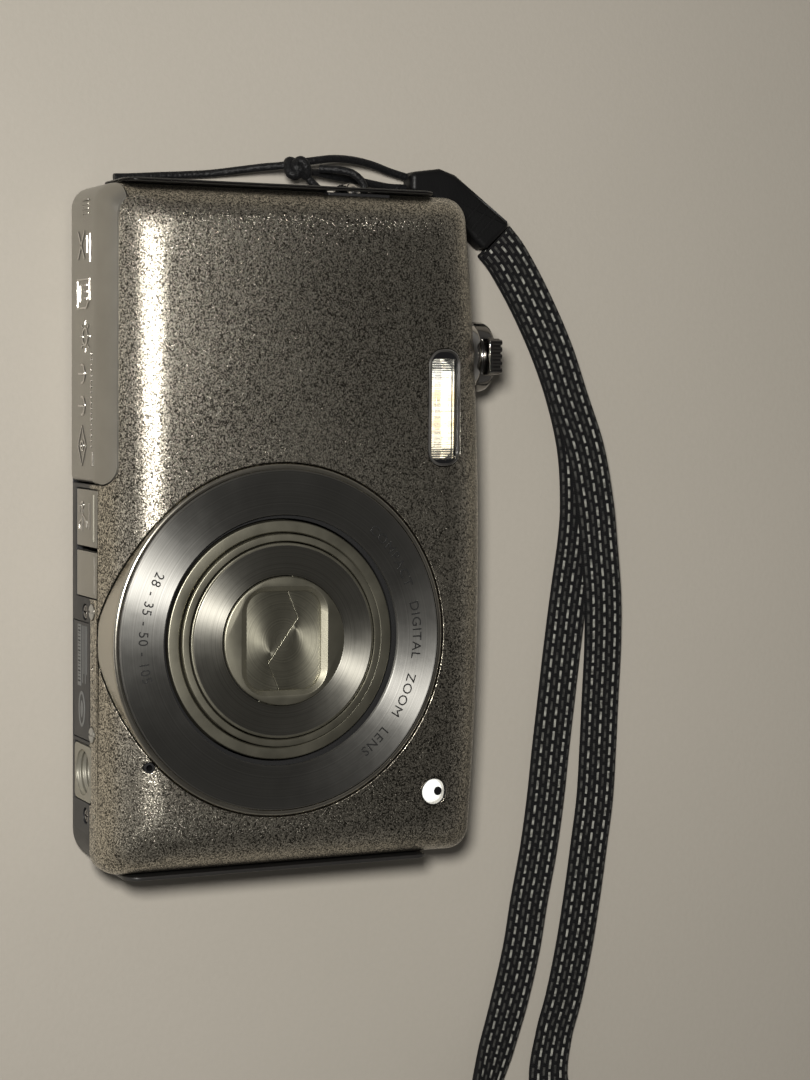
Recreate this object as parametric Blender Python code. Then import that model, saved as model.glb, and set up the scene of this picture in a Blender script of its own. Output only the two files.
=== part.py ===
"""Compact digital camera with a retracting zoom lens and a wrist strap.

The camera lies on its back, lens up.  All sizes below are in millimetres in the body's own axes:
X runs along the body's width, from the strap end (-X) to the lens end (+X),
Y runs along its height, from the bottom side (-Y) to the side with the shutter button (+Y),
Z runs through its thickness, from the screen's face (Z = 0) to the lens.
The empty "camera_frame" carries every piece and puts the middle of the base at the origin.
"""
import math

import bmesh
import bpy
from mathutils import Matrix, Vector

for old_object in list(bpy.data.objects):
    bpy.data.objects.remove(old_object, do_unlink=True)

MM = 0.001

# ---------------------------------------------------------------- driving dimensions, millimetres
HALF_LENGTH = 47.4
HALF_HEIGHT = 28.9
DEPTH = 19.5
ARCH = 0.00097            # the top side falls away by ARCH * (x - ARCH_CENTRE)^2
ARCH_CENTRE = 8.0

WALL = 1.0
GAP = 0.3                 # seam between neighbouring pieces
SPLIT_REAR = 9.2          # top edge of the rear cover
SPLIT_FRONT = 9.5         # lower edge of the front cover
ROUND_START = 11.0        # where the sides start to curve over to the front face
ROUND_RISE = DEPTH - ROUND_START
SIDE_ROUND = 7.9          # how far the long sides curve in
END_ROUND = 6.0           # how far the short ends curve in
FRONT_CORNER = 3.0
REAR_CORNER = 4.6
REAR_INSET = 0.15

LENS_X, LENS_Y = 15.0, -4.3
BEZEL_RADIUS = 24.5
TURNED_STEPS = 40

TRIM_OUT = 0.6            # the end trims stand this far proud of the ends
EYELET_OUT = 1.5          # the strap eyelet stands this far proud of the strap end
LEVER_X, LEVER_Z = -24.6, 9.6
SHUTTER_TOP = 31.7

FRAME_SHIFT_X = (EYELET_OUT - TRIM_OUT) / 2
FRAME_SHIFT_Y = -(SHUTTER_TOP - HALF_HEIGHT) / 2

# ---------------------------------------------------------------- materials


def principled(name, color, roughness, metallic):
    material = bpy.data.materials.new(name)
    material.use_nodes = True
    shader = material.node_tree.nodes["Principled BSDF"]
    shader.inputs["Base Color"].default_value = (*color, 1.0)
    shader.inputs["Roughness"].default_value = roughness
    shader.inputs["Metallic"].default_value = metallic
    return material


MATERIALS = {
    "champagne_paint": principled("champagne_paint", (0.42, 0.39, 0.33), 0.38, 0.8),
    "champagne_metal": principled("champagne_metal", (0.50, 0.47, 0.38), 0.3, 1.0),
    "brushed_gunmetal": principled("brushed_gunmetal", (0.22, 0.21, 0.19), 0.35, 1.0),
    "chrome": principled("chrome", (0.8, 0.8, 0.8), 0.1, 1.0),
    "steel": principled("steel", (0.55, 0.55, 0.54), 0.3, 1.0),
    "black_plastic": principled("black_plastic", (0.015, 0.015, 0.016), 0.45, 0.0),
    "grey_plastic": principled("grey_plastic", (0.2, 0.2, 0.2), 0.45, 0.0),
    "orange_plastic": principled("orange_plastic", (0.8, 0.3, 0.05), 0.4, 0.0),
    "label_film": principled("label_film", (0.05, 0.05, 0.055), 0.5, 0.0),
    "glass": principled("glass", (0.03, 0.035, 0.045), 0.05, 0.0),
    "clear_plastic": principled("clear_plastic", (0.8, 0.8, 0.78), 0.12, 0.0),
    "circuit_board": principled("circuit_board", (0.03, 0.12, 0.06), 0.5, 0.0),
    "webbing": principled("webbing", (0.02, 0.02, 0.022), 0.85, 0.0),
    "cord_fibre": principled("cord_fibre", (0.01, 0.01, 0.011), 0.7, 0.0),
}

FRAME = bpy.data.objects.new("camera_frame", None)
bpy.context.scene.collection.objects.link(FRAME)
FRAME.location = (FRAME_SHIFT_X * MM, FRAME_SHIFT_Y * MM, 0.0)

# ---------------------------------------------------------------- modelling helpers


def add_piece(name, shape, material, pivot=(0.0, 0.0, 0.0)):
    """Turn a bmesh in body millimetres into a named object whose origin is at pivot."""
    bmesh.ops.remove_doubles(shape, verts=shape.verts, dist=0.0005)
    bmesh.ops.recalc_face_normals(shape, faces=shape.faces)
    shape.transform(Matrix.Scale(MM, 4) @ Matrix.Translation(-Vector(pivot)))
    mesh = bpy.data.meshes.new(name)
    shape.to_mesh(mesh)
    shape.free()
    mesh.materials.append(MATERIALS[material])
    mesh.shade_smooth()
    mesh.set_sharp_from_angle(angle=math.radians(30))
    piece = bpy.data.objects.new(name, mesh)
    bpy.context.scene.collection.objects.link(piece)
    piece.parent = FRAME
    piece.location = Vector(pivot) * MM
    return piece


def combine(shape, tools, operation="DIFFERENCE"):
    """Cut tools from a shape, join them to it or intersect them with it, with exact booleans."""
    helpers = []
    for part in [shape, *tools]:
        bmesh.ops.recalc_face_normals(part, faces=part.faces)
        mesh = bpy.data.meshes.new("helper")
        part.to_mesh(mesh)
        part.free()
        helper = bpy.data.objects.new("helper", mesh)
        bpy.context.scene.collection.objects.link(helper)
        helpers.append(helper)
    base = helpers[0]
    for tool in helpers[1:]:
        modifier = base.modifiers.new("combine", "BOOLEAN")
        modifier.solver = "EXACT"
        modifier.operation = operation
        modifier.object = tool
    depsgraph = bpy.context.evaluated_depsgraph_get()
    depsgraph.update()
    result = bmesh.new()
    result.from_mesh(base.evaluated_get(depsgraph).to_mesh())
    base.evaluated_get(depsgraph).to_mesh_clear()
    for helper in helpers:
        mesh = helper.data
        bpy.data.objects.remove(helper, do_unlink=True)
        bpy.data.meshes.remove(mesh)
    return result


def loft(rings, closed=False):
    """Skin rings of equal point counts; an open stack gets a cap on each end."""
    shape = bmesh.new()
    loops = [[shape.verts.new(point) for point in ring] for ring in rings]
    pairs = list(zip(loops, loops[1:]))
    if closed:
        pairs.append((loops[-1], loops[0]))
    else:
        shape.faces.new(loops[0])
        shape.faces.new(loops[-1])
    count = len(rings[0])
    for lower, upper in pairs:
        for i in range(count):
            j = (i + 1) % count
            shape.faces.new((lower[i], lower[j], upper[j], upper[i]))
    return shape


def prism(outline, low, high, axis="Z"):
    """Sweep a closed outline along an axis; the outline holds the other two coordinates in order."""
    place = {
        "X": lambda a, b, h: (h, a, b),
        "Y": lambda a, b, h: (a, h, b),
        "Z": lambda a, b, h: (a, b, h),
    }[axis]
    return loft([[place(a, b, h) for a, b in outline] for h in (low, high)])


def box(x_range, y_range, z_range):
    outline = [(x_range[0], y_range[0]), (x_range[1], y_range[0]),
               (x_range[1], y_range[1]), (x_range[0], y_range[1])]
    return prism(outline, z_range[0], z_range[1])


def arc(centre, radius, start, end, steps):
    """Points on an arc, both ends included, angles in degrees."""
    points = []
    for i in range(steps + 1):
        angle = math.radians(start + (end - start) * i / steps)
        points.append((centre[0] + radius * math.cos(angle), centre[1] + radius * math.sin(angle)))
    return points


def circle(centre, radius, steps=24):
    return arc(centre, radius, 0, 360 * (steps - 1) / steps, steps - 1)


def rounded_box_outline(low, high, radius, steps=4):
    """A rectangle with round corners between two opposite corners."""
    (a0, b0), (a1, b1) = low, high
    return (arc((a0 + radius, b0 + radius), radius, 180, 270, steps)
            + arc((a1 - radius, b0 + radius), radius, 270, 360, steps)
            + arc((a1 - radius, b1 - radius), radius, 0, 90, steps)
            + arc((a0 + radius, b1 - radius), radius, 90, 180, steps))


def turned(profile, centre=(LENS_X, LENS_Y), steps=TURNED_STEPS, axis="Z"):
    """Spin a closed (radius, height) profile that stays off the axis into a ring."""
    rings = []
    for i in range(steps):
        angle = 2 * math.pi * i / steps
        along, across = math.cos(angle), math.sin(angle)
        if axis == "Z":
            rings.append([(centre[0] + r * along, centre[1] + r * across, h) for r, h in profile])
        else:
            rings.append([(centre[0] + r * along, h, centre[1] + r * across) for r, h in profile])
    return loft(rings, closed=True)


def stacked_discs(profile, centre, steps=24, axis="Z"):
    """A solid of revolution from (radius, height) steps, flat at both ends."""
    rings = []
    for radius, height in profile:
        ring = circle(centre, radius, steps)
        if axis == "Z":
            rings.append([(a, b, height) for a, b in ring])
        elif axis == "Y":
            rings.append([(a, height, b) for a, b in ring])
        else:
            rings.append([(height, a, b) for a, b in ring])
    return loft(rings)


# ---------------------------------------------------------------- body surfaces


def top_edge(x):
    return HALF_HEIGHT - ARCH * (x - ARCH_CENTRE) ** 2


def body_outline(end_inset, side_inset, corner, corner_steps=5, arch_steps=6):
    """The body's outline seen from the front, moved in by the two insets."""
    left, right = -HALF_LENGTH + end_inset, HALF_LENGTH - end_inset
    bottom = -HALF_HEIGHT + side_inset
    arch_left, arch_right = left + corner, right - corner
    outline = arc((arch_left, bottom + corner), corner, 180, 270, corner_steps)
    outline += arc((arch_right, bottom + corner), corner, 270, 360, corner_steps)
    outline += arc((arch_right, top_edge(arch_right) - side_inset - corner), corner, 0, 90, corner_steps)
    for i in range(1, arch_steps):
        x = arch_right + (arch_left - arch_right) * i / arch_steps
        outline.append((x, top_edge(x) - side_inset))
    outline += arc((arch_left, top_edge(arch_left) - side_inset - corner), corner, 90, 180, corner_steps)
    return outline


def front_ring(angle, wall):
    """One level of the front cover's curve: angle 0 is the straight side, 90 the front face."""
    lean = math.cos(math.radians(angle))
    rise = math.sin(math.radians(angle))
    side_inset = SIDE_ROUND - (SIDE_ROUND - wall) * lean
    end_inset = END_ROUND - (END_ROUND - wall) * lean
    corner = FRONT_CORNER + 1.5 * (1 - lean) - 0.5 * wall * lean
    height = ROUND_START + (ROUND_RISE - wall) * rise
    return [(x, y, height) for x, y in body_outline(end_inset, side_inset, corner)]


def front_shell(low_edge, wall, curve_steps=7):
    """The front half as a cup: straight sides from low_edge up, then the curve and the front face."""
    angles = [90 * i / curve_steps for i in range(curve_steps + 1)]
    straight_outer = [(x, y, low_edge) for x, y, _ in front_ring(0, 0.0)]
    straight_inner = [(x, y, low_edge) for x, y, _ in front_ring(0, wall)]
    inner = [front_ring(angle, wall) for angle in reversed(angles)]
    outer = [front_ring(angle, 0.0) for angle in angles]
    return loft([*inner, straight_inner, straight_outer, *outer])


def rear_shell():
    """The rear half as a tray, open to the front, with softened back edges."""
    def ring(inset, corner, height):
        return [(x, y, height) for x, y in body_outline(inset, inset, corner)]
    back_wall = 1.3
    return loft([
        ring(REAR_INSET + WALL, REAR_CORNER - WALL, back_wall),
        ring(REAR_INSET + WALL, REAR_CORNER - WALL, SPLIT_REAR),
        ring(REAR_INSET, REAR_CORNER, SPLIT_REAR),
        ring(REAR_INSET, REAR_CORNER, 1.3),
        ring(0.5, REAR_CORNER, 0.4),
        ring(1.2, REAR_CORNER - 0.4, 0.0),
    ])


# ---------------------------------------------------------------- openings shared by both covers
DOOR_X = (-HALF_LENGTH - 2.0, -6.5)
DOOR_Z = (1.2, 16.3)
DOOR_TOP_Y = -25.9
DOOR_CORNER = 2.6


def door_region(margin, y_low=-30.0):
    """The battery door's area as seen from below, grown by margin; only its inner corner is round."""
    right, low, high = DOOR_X[1] + margin, DOOR_Z[0] - margin, DOOR_Z[1] + margin
    corner = DOOR_CORNER + margin
    outline = [(DOOR_X[0], low), (right, low)]
    outline += arc((right - corner, high - corner), corner, 0, 90, 5)
    outline.append((DOOR_X[0], high))
    return prism(outline, y_low, DOOR_TOP_Y + margin, "Y")


FLAP_Z = (3.2, 12.4)
USB_FLAP_X = (-5.6, 2.24)
POWER_FLAP_X = (2.9, 9.2)
TRIPOD_X = (30.0, 37.8)
TRIPOD_Z = (2.4, 9.9)
POCKET_Y = (4.3, 13.7)
POCKET_Z = (4.6, 14.4)
POWER_BUTTON = (-11.5, 9.6)


def side_openings():
    """Cutters that pass through both covers' side walls."""
    return [
        door_region(GAP),
        box((USB_FLAP_X[0] - GAP, POWER_FLAP_X[1] + GAP), (-30, -27), (FLAP_Z[0] - GAP, FLAP_Z[1] + GAP)),
        box((TRIPOD_X[0] - GAP, TRIPOD_X[1] + GAP), (-30, -26), (TRIPOD_Z[0] - GAP, TRIPOD_Z[1] + GAP)),
        box((-50, -45.5), (POCKET_Y[0] - GAP, POCKET_Y[1] + GAP), (POCKET_Z[0] - GAP, POCKET_Z[1] + GAP)),
        prism(circle((LEVER_X, LEVER_Z), 4.3, 24), 24, 31, "Y"),
        prism(circle(POWER_BUTTON, 2.6, 20), 24, 31, "Y"),
    ]


# ---------------------------------------------------------------- front cover
FLASH_X = (-25.6, -8.8)
FLASH_Y = (17.65, 22.85)
AF_LAMP = (37.5, 19.0)
MICROPHONE = (31.7, -23.5)
SPEAKER_HOLES_X = (16.9, 18.85, 20.8)
SPEAKER_HOLES_Z = 10.7

cover = front_shell(SPLIT_FRONT, WALL)
front_cutters = side_openings()
front_cutters.append(prism(circle((LENS_X, LENS_Y), BEZEL_RADIUS + GAP, 56), 12.7, 22))
front_cutters.append(prism(rounded_box_outline((FLASH_X[0], FLASH_Y[0]), (FLASH_X[1], FLASH_Y[1]), 2.3), 15, 22))
front_cutters.append(prism(circle(AF_LAMP, 2.05, 20), 15, 22))
front_cutters.append(prism(circle(MICROPHONE, 0.75, 10), 15, 22))
for hole_x in SPEAKER_HOLES_X:
    front_cutters.append(prism(circle((hole_x, SPEAKER_HOLES_Z), 0.35, 8), -30, -27, "Y"))
add_piece("front_cover", combine(cover, front_cutters), "champagne_paint")

# ---------------------------------------------------------------- rear cover
SCREEN_X = (-16.0, 44.5)
SCREEN_Y = (-23.5, 22.5)
PAD_CENTRE = (-31.5, -5.0)
PAD_RADIUS = 8.6
PAD_HOLE_RADIUS = 3.3
ROUND_BUTTONS = {
    "menu_button": ((-38.3, -20.3), 2.6),
    "delete_button": ((-24.7, -20.3), 2.6),
    "mode_button": ((-38.3, 10.2), 2.8),
    "playback_button": ((-24.7, 10.2), 2.8),
    "movie_button": ((-27.5, 20.0), 3.1),
}
LABEL_X = (12.9, 29.2)
LABEL_Z = (1.6, 8.7)
SCREWS = {"label_screw": (11.4, 6.9), "corner_screw": (39.8, 7.4)}
SCREW_HEAD_RADIUS = 0.95

tray = rear_shell()
rear_cutters = side_openings()
rear_cutters.append(prism(rounded_box_outline((SCREEN_X[0], SCREEN_Y[0]), (SCREEN_X[1], SCREEN_Y[1]), 1.6), -1, 2))
rear_cutters.append(prism(circle(PAD_CENTRE, PAD_RADIUS + GAP, 32), -1, 2))
for (button_centre, button_radius) in ROUND_BUTTONS.values():
    rear_cutters.append(prism(circle(button_centre, button_radius + GAP, 20), -1, 2))
rear_cutters.append(box((LABEL_X[0] - 0.1, LABEL_X[1] + 0.1), (-30, -28.35), (LABEL_Z[0] - 0.1, LABEL_Z[1] + 0.1)))
for (screw_x, screw_z) in SCREWS.values():
    rear_cutters.append(prism(circle((screw_x, screw_z), SCREW_HEAD_RADIUS + 0.2, 14), -30, -28.2, "Y"))
    rear_cutters.append(prism(circle((screw_x, screw_z), 0.8, 10), -29, -26, "Y"))
add_piece("rear_cover", combine(tray, rear_cutters), "black_plastic")

# ---------------------------------------------------------------- end trims and strap eyelet
TRIM_Z = (4.0, 15.0)
TRIM_GAP = 0.1


def end_trim(x_range, y_range):
    outline = rounded_box_outline((y_range[0], TRIM_Z[0]), (y_range[1], TRIM_Z[1]), 2.2)
    return prism(outline, x_range[0], x_range[1], "X")


strap_trim = end_trim((-HALF_LENGTH - TRIM_OUT, -HALF_LENGTH - TRIM_GAP), (-25.6, 21.0))
trim_opening = prism(rounded_box_outline((POCKET_Y[0] + 0.6, POCKET_Z[0] + 0.6),
                                         (POCKET_Y[1] - 0.6, POCKET_Z[1] - 0.6), 1.0), -50, -46, "X")
add_piece("strap_end_trim", combine(strap_trim, [trim_opening]), "grey_plastic")
add_piece("lens_end_trim", end_trim((HALF_LENGTH + TRIM_GAP, HALF_LENGTH + TRIM_OUT), (-25.3, 20.7)), "grey_plastic")

EYELET_Y = 9.0
EYELET_BAR_RADIUS = 0.8
EYELET_BAR_X = -HALF_LENGTH - EYELET_OUT + EYELET_BAR_RADIUS
EYELET_BAR_Z = (6.6, 12.4)
POCKET_FLOOR_X = -44.9

pocket = box((-47.2, -44.2), POCKET_Y, POCKET_Z)
pocket_cutters = [box((-50, POCKET_FLOOR_X), (POCKET_Y[0] + 0.6, POCKET_Y[1] - 0.6),
                      (POCKET_Z[0] + 0.6, POCKET_Z[1] - 0.6))]
for leg_z in EYELET_BAR_Z:
    pocket_cutters.append(prism(circle((EYELET_Y, leg_z), EYELET_BAR_RADIUS + 0.15, 12), -46, -43, "X"))
add_piece("eyelet_pocket", combine(pocket, pocket_cutters), "black_plastic")


def swept_tube(points, radius, steps=12):
    """A round bar along a list of points, with flat ends."""
    points = [Vector(point) for point in points]
    rings = []
    side = (points[1] - points[0]).normalized().orthogonal().normalized()
    for i, point in enumerate(points):
        before, after = points[max(i - 1, 0)], points[min(i + 1, len(points) - 1)]
        direction = (after - before).normalized()
        side = (side - direction * side.dot(direction)).normalized()
        up = direction.cross(side)
        rings.append([point + radius * (side * a + up * b) for a, b in circle((0, 0), 1, steps)])
    return loft(rings)


bend = 1.2
staple_path = [(-44.4, EYELET_BAR_Z[0])]
staple_path += arc((EYELET_BAR_X + bend, EYELET_BAR_Z[0] + bend), bend, 270, 180, 4)
staple_path += arc((EYELET_BAR_X + bend, EYELET_BAR_Z[1] - bend), bend, 180, 90, 4)
staple_path.append((-44.4, EYELET_BAR_Z[1]))
add_piece("strap_eyelet", swept_tube([(x, EYELET_Y, z) for x, z in staple_path], EYELET_BAR_RADIUS), "chrome")

# ---------------------------------------------------------------- battery door, its slider and the flaps
DOOR_WALL = 1.2
DOOR_PIN = (-7.55, -27.85)        # hinge axis, parallel to Z
DOOR_BAR_RADIUS = 1.05
DOOR_SWING_RADIUS = 1.27          # the door's hinge end stays inside this circle as it turns
KNUCKLE_Z = (6.0, 7.6)
KNUCKLE_RADIUS = 0.65
knuckle_room_z = (KNUCKLE_Z[0] - GAP, KNUCKLE_Z[1] + GAP)

door = combine(front_shell(0.5, DOOR_WALL), [door_region(0.0)], "INTERSECT")
end_trimmer = box((DOOR_PIN[0], 0), (-31, -25), (0.0, ROUND_START))
corner_trimmer = prism(arc(DOOR_PIN, DOOR_SWING_RADIUS, 270, 360, 6)
                       + [(-5.0, DOOR_PIN[1]), (-5.0, -31.0), (DOOR_PIN[0], -31.0)], ROUND_START, 17.0)
hinge_bar = prism(circle(DOOR_PIN, DOOR_BAR_RADIUS, 20), DOOR_Z[0], ROUND_START)
door = combine(door, [end_trimmer, corner_trimmer])
door = combine(door, [hinge_bar], "UNION")
door = combine(door, [
    prism(circle(DOOR_PIN, 0.55, 12), 1.8, 10.8),
    prism(circle(DOOR_PIN, KNUCKLE_RADIUS + 0.1, 16), *knuckle_room_z),
    box((-9.6, -6.0), (DOOR_PIN[1], -25), knuckle_room_z),
])
add_piece("battery_door", door, "champagne_paint", (*DOOR_PIN, 0.0))

slider = box((-17.0, -9.1), (-27.3, -26.75), (2.6, 8.6))
slider_web = box((-9.3, DOOR_PIN[0]), (-27.35, -26.95), KNUCKLE_Z)
slider_knuckle = prism(circle(DOOR_PIN, KNUCKLE_RADIUS, 16), *KNUCKLE_Z)
slider_pin = prism(circle(DOOR_PIN, 0.45, 12), 2.0, 10.6)
add_piece("door_slider", combine(slider, [slider_web, slider_knuckle, slider_pin], "UNION"), "steel")

FLAP_HINGE = (-28.2, FLAP_Z[0] + 0.7)


def flap(x_range):
    """A small connector cover whose lower edge is round about its hinge line."""
    y_axis, z_axis = FLAP_HINGE
    outline = arc((y_axis, z_axis), 0.7, 180, 360, 8)
    outline += [(y_axis + 0.7, z_axis + 1.0), (-27.8, z_axis + 1.4), (-27.8, FLAP_Z[1]), (-28.7, FLAP_Z[1]),
                (-28.9, FLAP_Z[1] - 0.4)]
    return prism(outline, x_range[0], x_range[1], "X")


add_piece("connector_cover", flap(USB_FLAP_X), "champagne_paint", (0.0, *FLAP_HINGE))
add_piece("power_cable_cover", flap(POWER_FLAP_X), "champagne_paint", (0.0, *FLAP_HINGE))

usb_socket = box((-5.2, 1.8), (-27.0, -20.6), (6.0, 9.4))
usb_mouth = box((-4.8, 1.4), (-28.0, -22.0), (6.4, 9.0))
usb_tongue = box((-3.6, 0.2), (-26.2, -21.5), (7.5, 7.9))
usb_socket = combine(usb_socket, [usb_mouth])
add_piece("connector_socket", combine(usb_socket, [usb_tongue], "UNION"), "steel")

# ---------------------------------------------------------------- label, tripod socket and screws
add_piece("bottom_label", box(LABEL_X, (-28.7, -28.45), LABEL_Z), "label_film")

TRIPOD_CENTRE = ((TRIPOD_X[0] + TRIPOD_X[1]) / 2, (TRIPOD_Z[0] + TRIPOD_Z[1]) / 2)
TRIPOD_THREAD_RADIUS = 3.175
tripod = prism(rounded_box_outline((TRIPOD_X[0], TRIPOD_Z[0]), (TRIPOD_X[1], TRIPOD_Z[1]), 0.8), -28.85, -22.6, "Y")
tripod_hole = prism(circle(TRIPOD_CENTRE, TRIPOD_THREAD_RADIUS, 24), -30, -23.6, "Y")
add_piece("tripod_socket", combine(tripod, [tripod_hole]), "steel")

for screw_name, (screw_x, screw_z) in SCREWS.items():
    screw = stacked_discs([(0.6, -24.2), (0.6, -28.3), (SCREW_HEAD_RADIUS, -28.32), (SCREW_HEAD_RADIUS, -28.6),
                           (0.75, -28.72)], (screw_x, screw_z), 14, "Y")
    slots = [box((screw_x - 0.62, screw_x + 0.62), (-29, -28.45), (screw_z - 0.13, screw_z + 0.13)),
             box((screw_x - 0.13, screw_x + 0.13), (-29, -28.45), (screw_z - 0.62, screw_z + 0.62))]
    add_piece(screw_name, combine(screw, slots), "steel")

# ---------------------------------------------------------------- lens unit
bezel_profile = [(24.5, 13.0), (24.5, 19.1), (24.2, 19.55), (23.8, 19.6), (23.8, 18.9), (17.7, 18.9),
                 (17.7, 17.9), (23.5, 17.9), (23.5, 13.0)]
add_piece("lens_bezel", turned(bezel_profile, steps=56), "champagne_metal")

decor_profile = [(17.4, 19.2), (17.4, 19.75), (17.6, 19.85), (23.4, 19.85), (23.55, 19.75), (23.55, 19.2)]
add_piece("lens_decor_ring", turned(decor_profile), "brushed_gunmetal")

base_profile = [(6.0, 6.0), (19.6, 6.0), (19.6, 17.6), (18.4, 17.6), (18.4, 6.9), (6.0, 6.9)]
add_piece("lens_base", turned(base_profile), "black_plastic")

add_piece("cam_ring", turned([(17.2, 7.3), (18.1, 7.3), (18.1, 17.5), (17.2, 17.5)]), "black_plastic",
          (LENS_X, LENS_Y, 0.0))

outer_profile = [(15.6, 7.6), (16.6, 7.6), (16.6, 18.8), (16.3, 19.1), (14.95, 19.1), (14.95, 18.1), (15.6, 18.1)]
add_piece("lens_barrel_outer", turned(outer_profile), "champagne_metal")

middle_profile = [(14.0, 7.9), (14.75, 7.9), (14.75, 19.6), (14.55, 19.8), (13.75, 19.8), (13.75, 18.9),
                  (14.0, 18.9)]
add_piece("lens_barrel_middle", turned(middle_profile), "champagne_metal")

FLANGE_TOP = 18.8
BLADE_Z = (19.1, 19.5)
BLADE_PIVOT = (-9.18, 2.46)           # from the lens axis; the second blade is turned half a circle
front_profile = [(12.75, 8.2), (13.55, 8.2), (13.55, 19.9), (12.75, 19.9), (12.75, FLANGE_TOP),
                 (6.8, FLANGE_TOP), (6.8, 15.6), (12.75, 15.6)]
front_barrel = turned(front_profile)
blade_pins = [prism(circle((LENS_X + s * BLADE_PIVOT[0], LENS_Y + s * BLADE_PIVOT[1]), 0.4, 10),
                    FLANGE_TOP - 0.4, BLADE_Z[1]) for s in (1, -1)]
add_piece("lens_barrel_front", combine(front_barrel, blade_pins, "UNION"), "champagne_metal")

add_piece("lens_front_ring", turned([(9.1, 19.75), (12.45, 19.75), (12.45, 19.95), (9.1, 19.95)]),
          "brushed_gunmetal")

WINDOW_HALF = (6.8, 5.3)              # the opening over the blades, half sizes along X and Y
WINDOW_CUT = 2.4                      # how much its corners are cut off


def window_outline(grow):
    """The lens window: a rectangle with cut corners, about the lens axis."""
    half_x, half_y = WINDOW_HALF[0] + grow, WINDOW_HALF[1] + grow
    cut = WINDOW_CUT + 0.6 * grow
    corner = [(half_x, half_y - cut), (half_x - 0.3 * cut, half_y - 0.3 * cut), (half_x - cut, half_y)]
    mirrored = [(-x, y) for x, y in reversed(corner)]
    lower = [(-x, -y) for x, y in corner + mirrored]
    return [(LENS_X + x, LENS_Y + y) for x, y in corner + mirrored + lower]


disc = stacked_discs([(8.9, 19.75), (8.9, 20.3), (8.75, 20.4)], (LENS_X, LENS_Y), TURNED_STEPS)
window_cone = loft([[(x, y, height) for x, y in window_outline(grow)]
                    for height, grow in ((19.0, 0.0), (19.85, 0.0), (20.5, 1.1))])
add_piece("lens_front_disc", combine(disc, [window_cone]), "champagne_metal")

SEAM = [(-7.2, 0.7), (-6.6, 0.7), (-3.1, 2.2), (0.0, 0.0), (3.1, -2.2), (6.6, -0.7), (7.2, -0.7)]
SEAM_GAP = 0.06


def lens_blade(side):
    """One cover blade; side 1 is the +Y one, side -1 the same blade turned half a circle."""
    outline = [(x, y + SEAM_GAP) for x, y in SEAM]
    outline += [(7.2, 3.1), (4.6, 5.7), (-4.6, 5.7), (-7.2, 3.1)]
    plate = prism([(LENS_X + side * x, LENS_Y + side * y) for x, y in outline], *BLADE_Z)
    lug_outline = arc(BLADE_PIVOT, 1.15, 80, 280, 8) + [(-6.8, 1.4), (-6.8, 3.2)]
    lug = prism([(LENS_X + side * x, LENS_Y + side * y) for x, y in lug_outline], *BLADE_Z)
    pivot = (LENS_X + side * BLADE_PIVOT[0], LENS_Y + side * BLADE_PIVOT[1])
    blade = combine(plate, [lug], "UNION")
    blade = combine(blade, [prism(circle(pivot, 0.55, 10), 18, 21)])
    return blade, (*pivot, 0.0)


for blade_name, blade_side in (("lens_cover_blade_a", 1), ("lens_cover_blade_b", -1)):
    blade_shape, blade_pivot = lens_blade(blade_side)
    add_piece(blade_name, blade_shape, "champagne_metal", blade_pivot)

glass_profile = [(6.2, 15.9), (6.5, 16.1), (6.5, 17.2), (5.6, 17.8), (3.8, 18.3), (1.8, 18.5)]
add_piece("front_lens_element", stacked_discs(glass_profile, (LENS_X, LENS_Y)), "glass")

focus_profile = [(4.6, 8.2), (7.2, 8.4), (7.2, 9.4), (5.6, 9.6), (5.0, 10.2), (3.4, 10.6), (1.6, 10.8)]
add_piece("focus_lens", stacked_discs(focus_profile, (LENS_X, LENS_Y)), "glass")

add_piece("image_sensor", box((LENS_X - 4.6, LENS_X + 4.6), (LENS_Y - 4.1, LENS_Y + 4.1), (4.9, 5.7)), "glass")

motor = stacked_discs([(2.9, -2.0), (3.2, -1.7), (3.2, 11.0)], (19.2, 9.0), 20, "X")
gearbox = box((10.4, 24.0), (15.9, 22.4), (5.6, 12.4))
add_piece("zoom_motor", combine(motor, [gearbox], "UNION"), "grey_plastic")

# ---------------------------------------------------------------- controls on the top side
shutter_profile = [(2.2, 25.0), (2.9, 25.2), (2.9, 30.6), (2.6, 31.2), (1.9, 31.55), (0.9, SHUTTER_TOP)]
add_piece("shutter_button", stacked_discs(shutter_profile, (LEVER_X, LEVER_Z), 24, "Y"), "chrome",
          (LEVER_X, 28.0, LEVER_Z))

lever_profile = [(3.2, 25.6), (3.9, 25.6), (3.9, 28.4), (5.0, 28.4), (5.1, 28.8), (5.0, 30.6), (4.6, 31.0),
                 (3.2, 31.0)]
lever = turned(lever_profile, (LEVER_X, LEVER_Z), 28, "Y")
lever_tab = prism(rounded_box_outline((LEVER_X - 2.6, LEVER_Z + 4.0), (LEVER_X + 2.6, LEVER_Z + 6.6), 0.7, 3),
                  28.9, 30.9, "Y")
add_piece("zoom_lever", combine(lever, [lever_tab], "UNION"), "chrome", (LEVER_X, 0.0, LEVER_Z))

power_profile = [(3.1, 26.2), (3.1, 26.9), (2.3, 26.92), (2.3, 28.5), (2.1, 28.7)]
add_piece("power_button", stacked_discs(power_profile, POWER_BUTTON, 20, "Y"), "chrome",
          (POWER_BUTTON[0], 27.0, POWER_BUTTON[1]))

# ---------------------------------------------------------------- screen and rear controls
CAP_TOP = 0.15                         # outer face of the rear buttons
FLANGE_Z = (1.6, 2.3)

add_piece("screen_window", prism(rounded_box_outline((SCREEN_X[0] + 0.2, SCREEN_Y[0] + 0.2),
                                                     (SCREEN_X[1] - 0.2, SCREEN_Y[1] - 0.2), 1.4), 0.2, 1.1), "glass")
add_piece("screen_panel", box((-14.6, 43.4), (-22.3, 21.5), (1.4, 3.4)), "grey_plastic")

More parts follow.
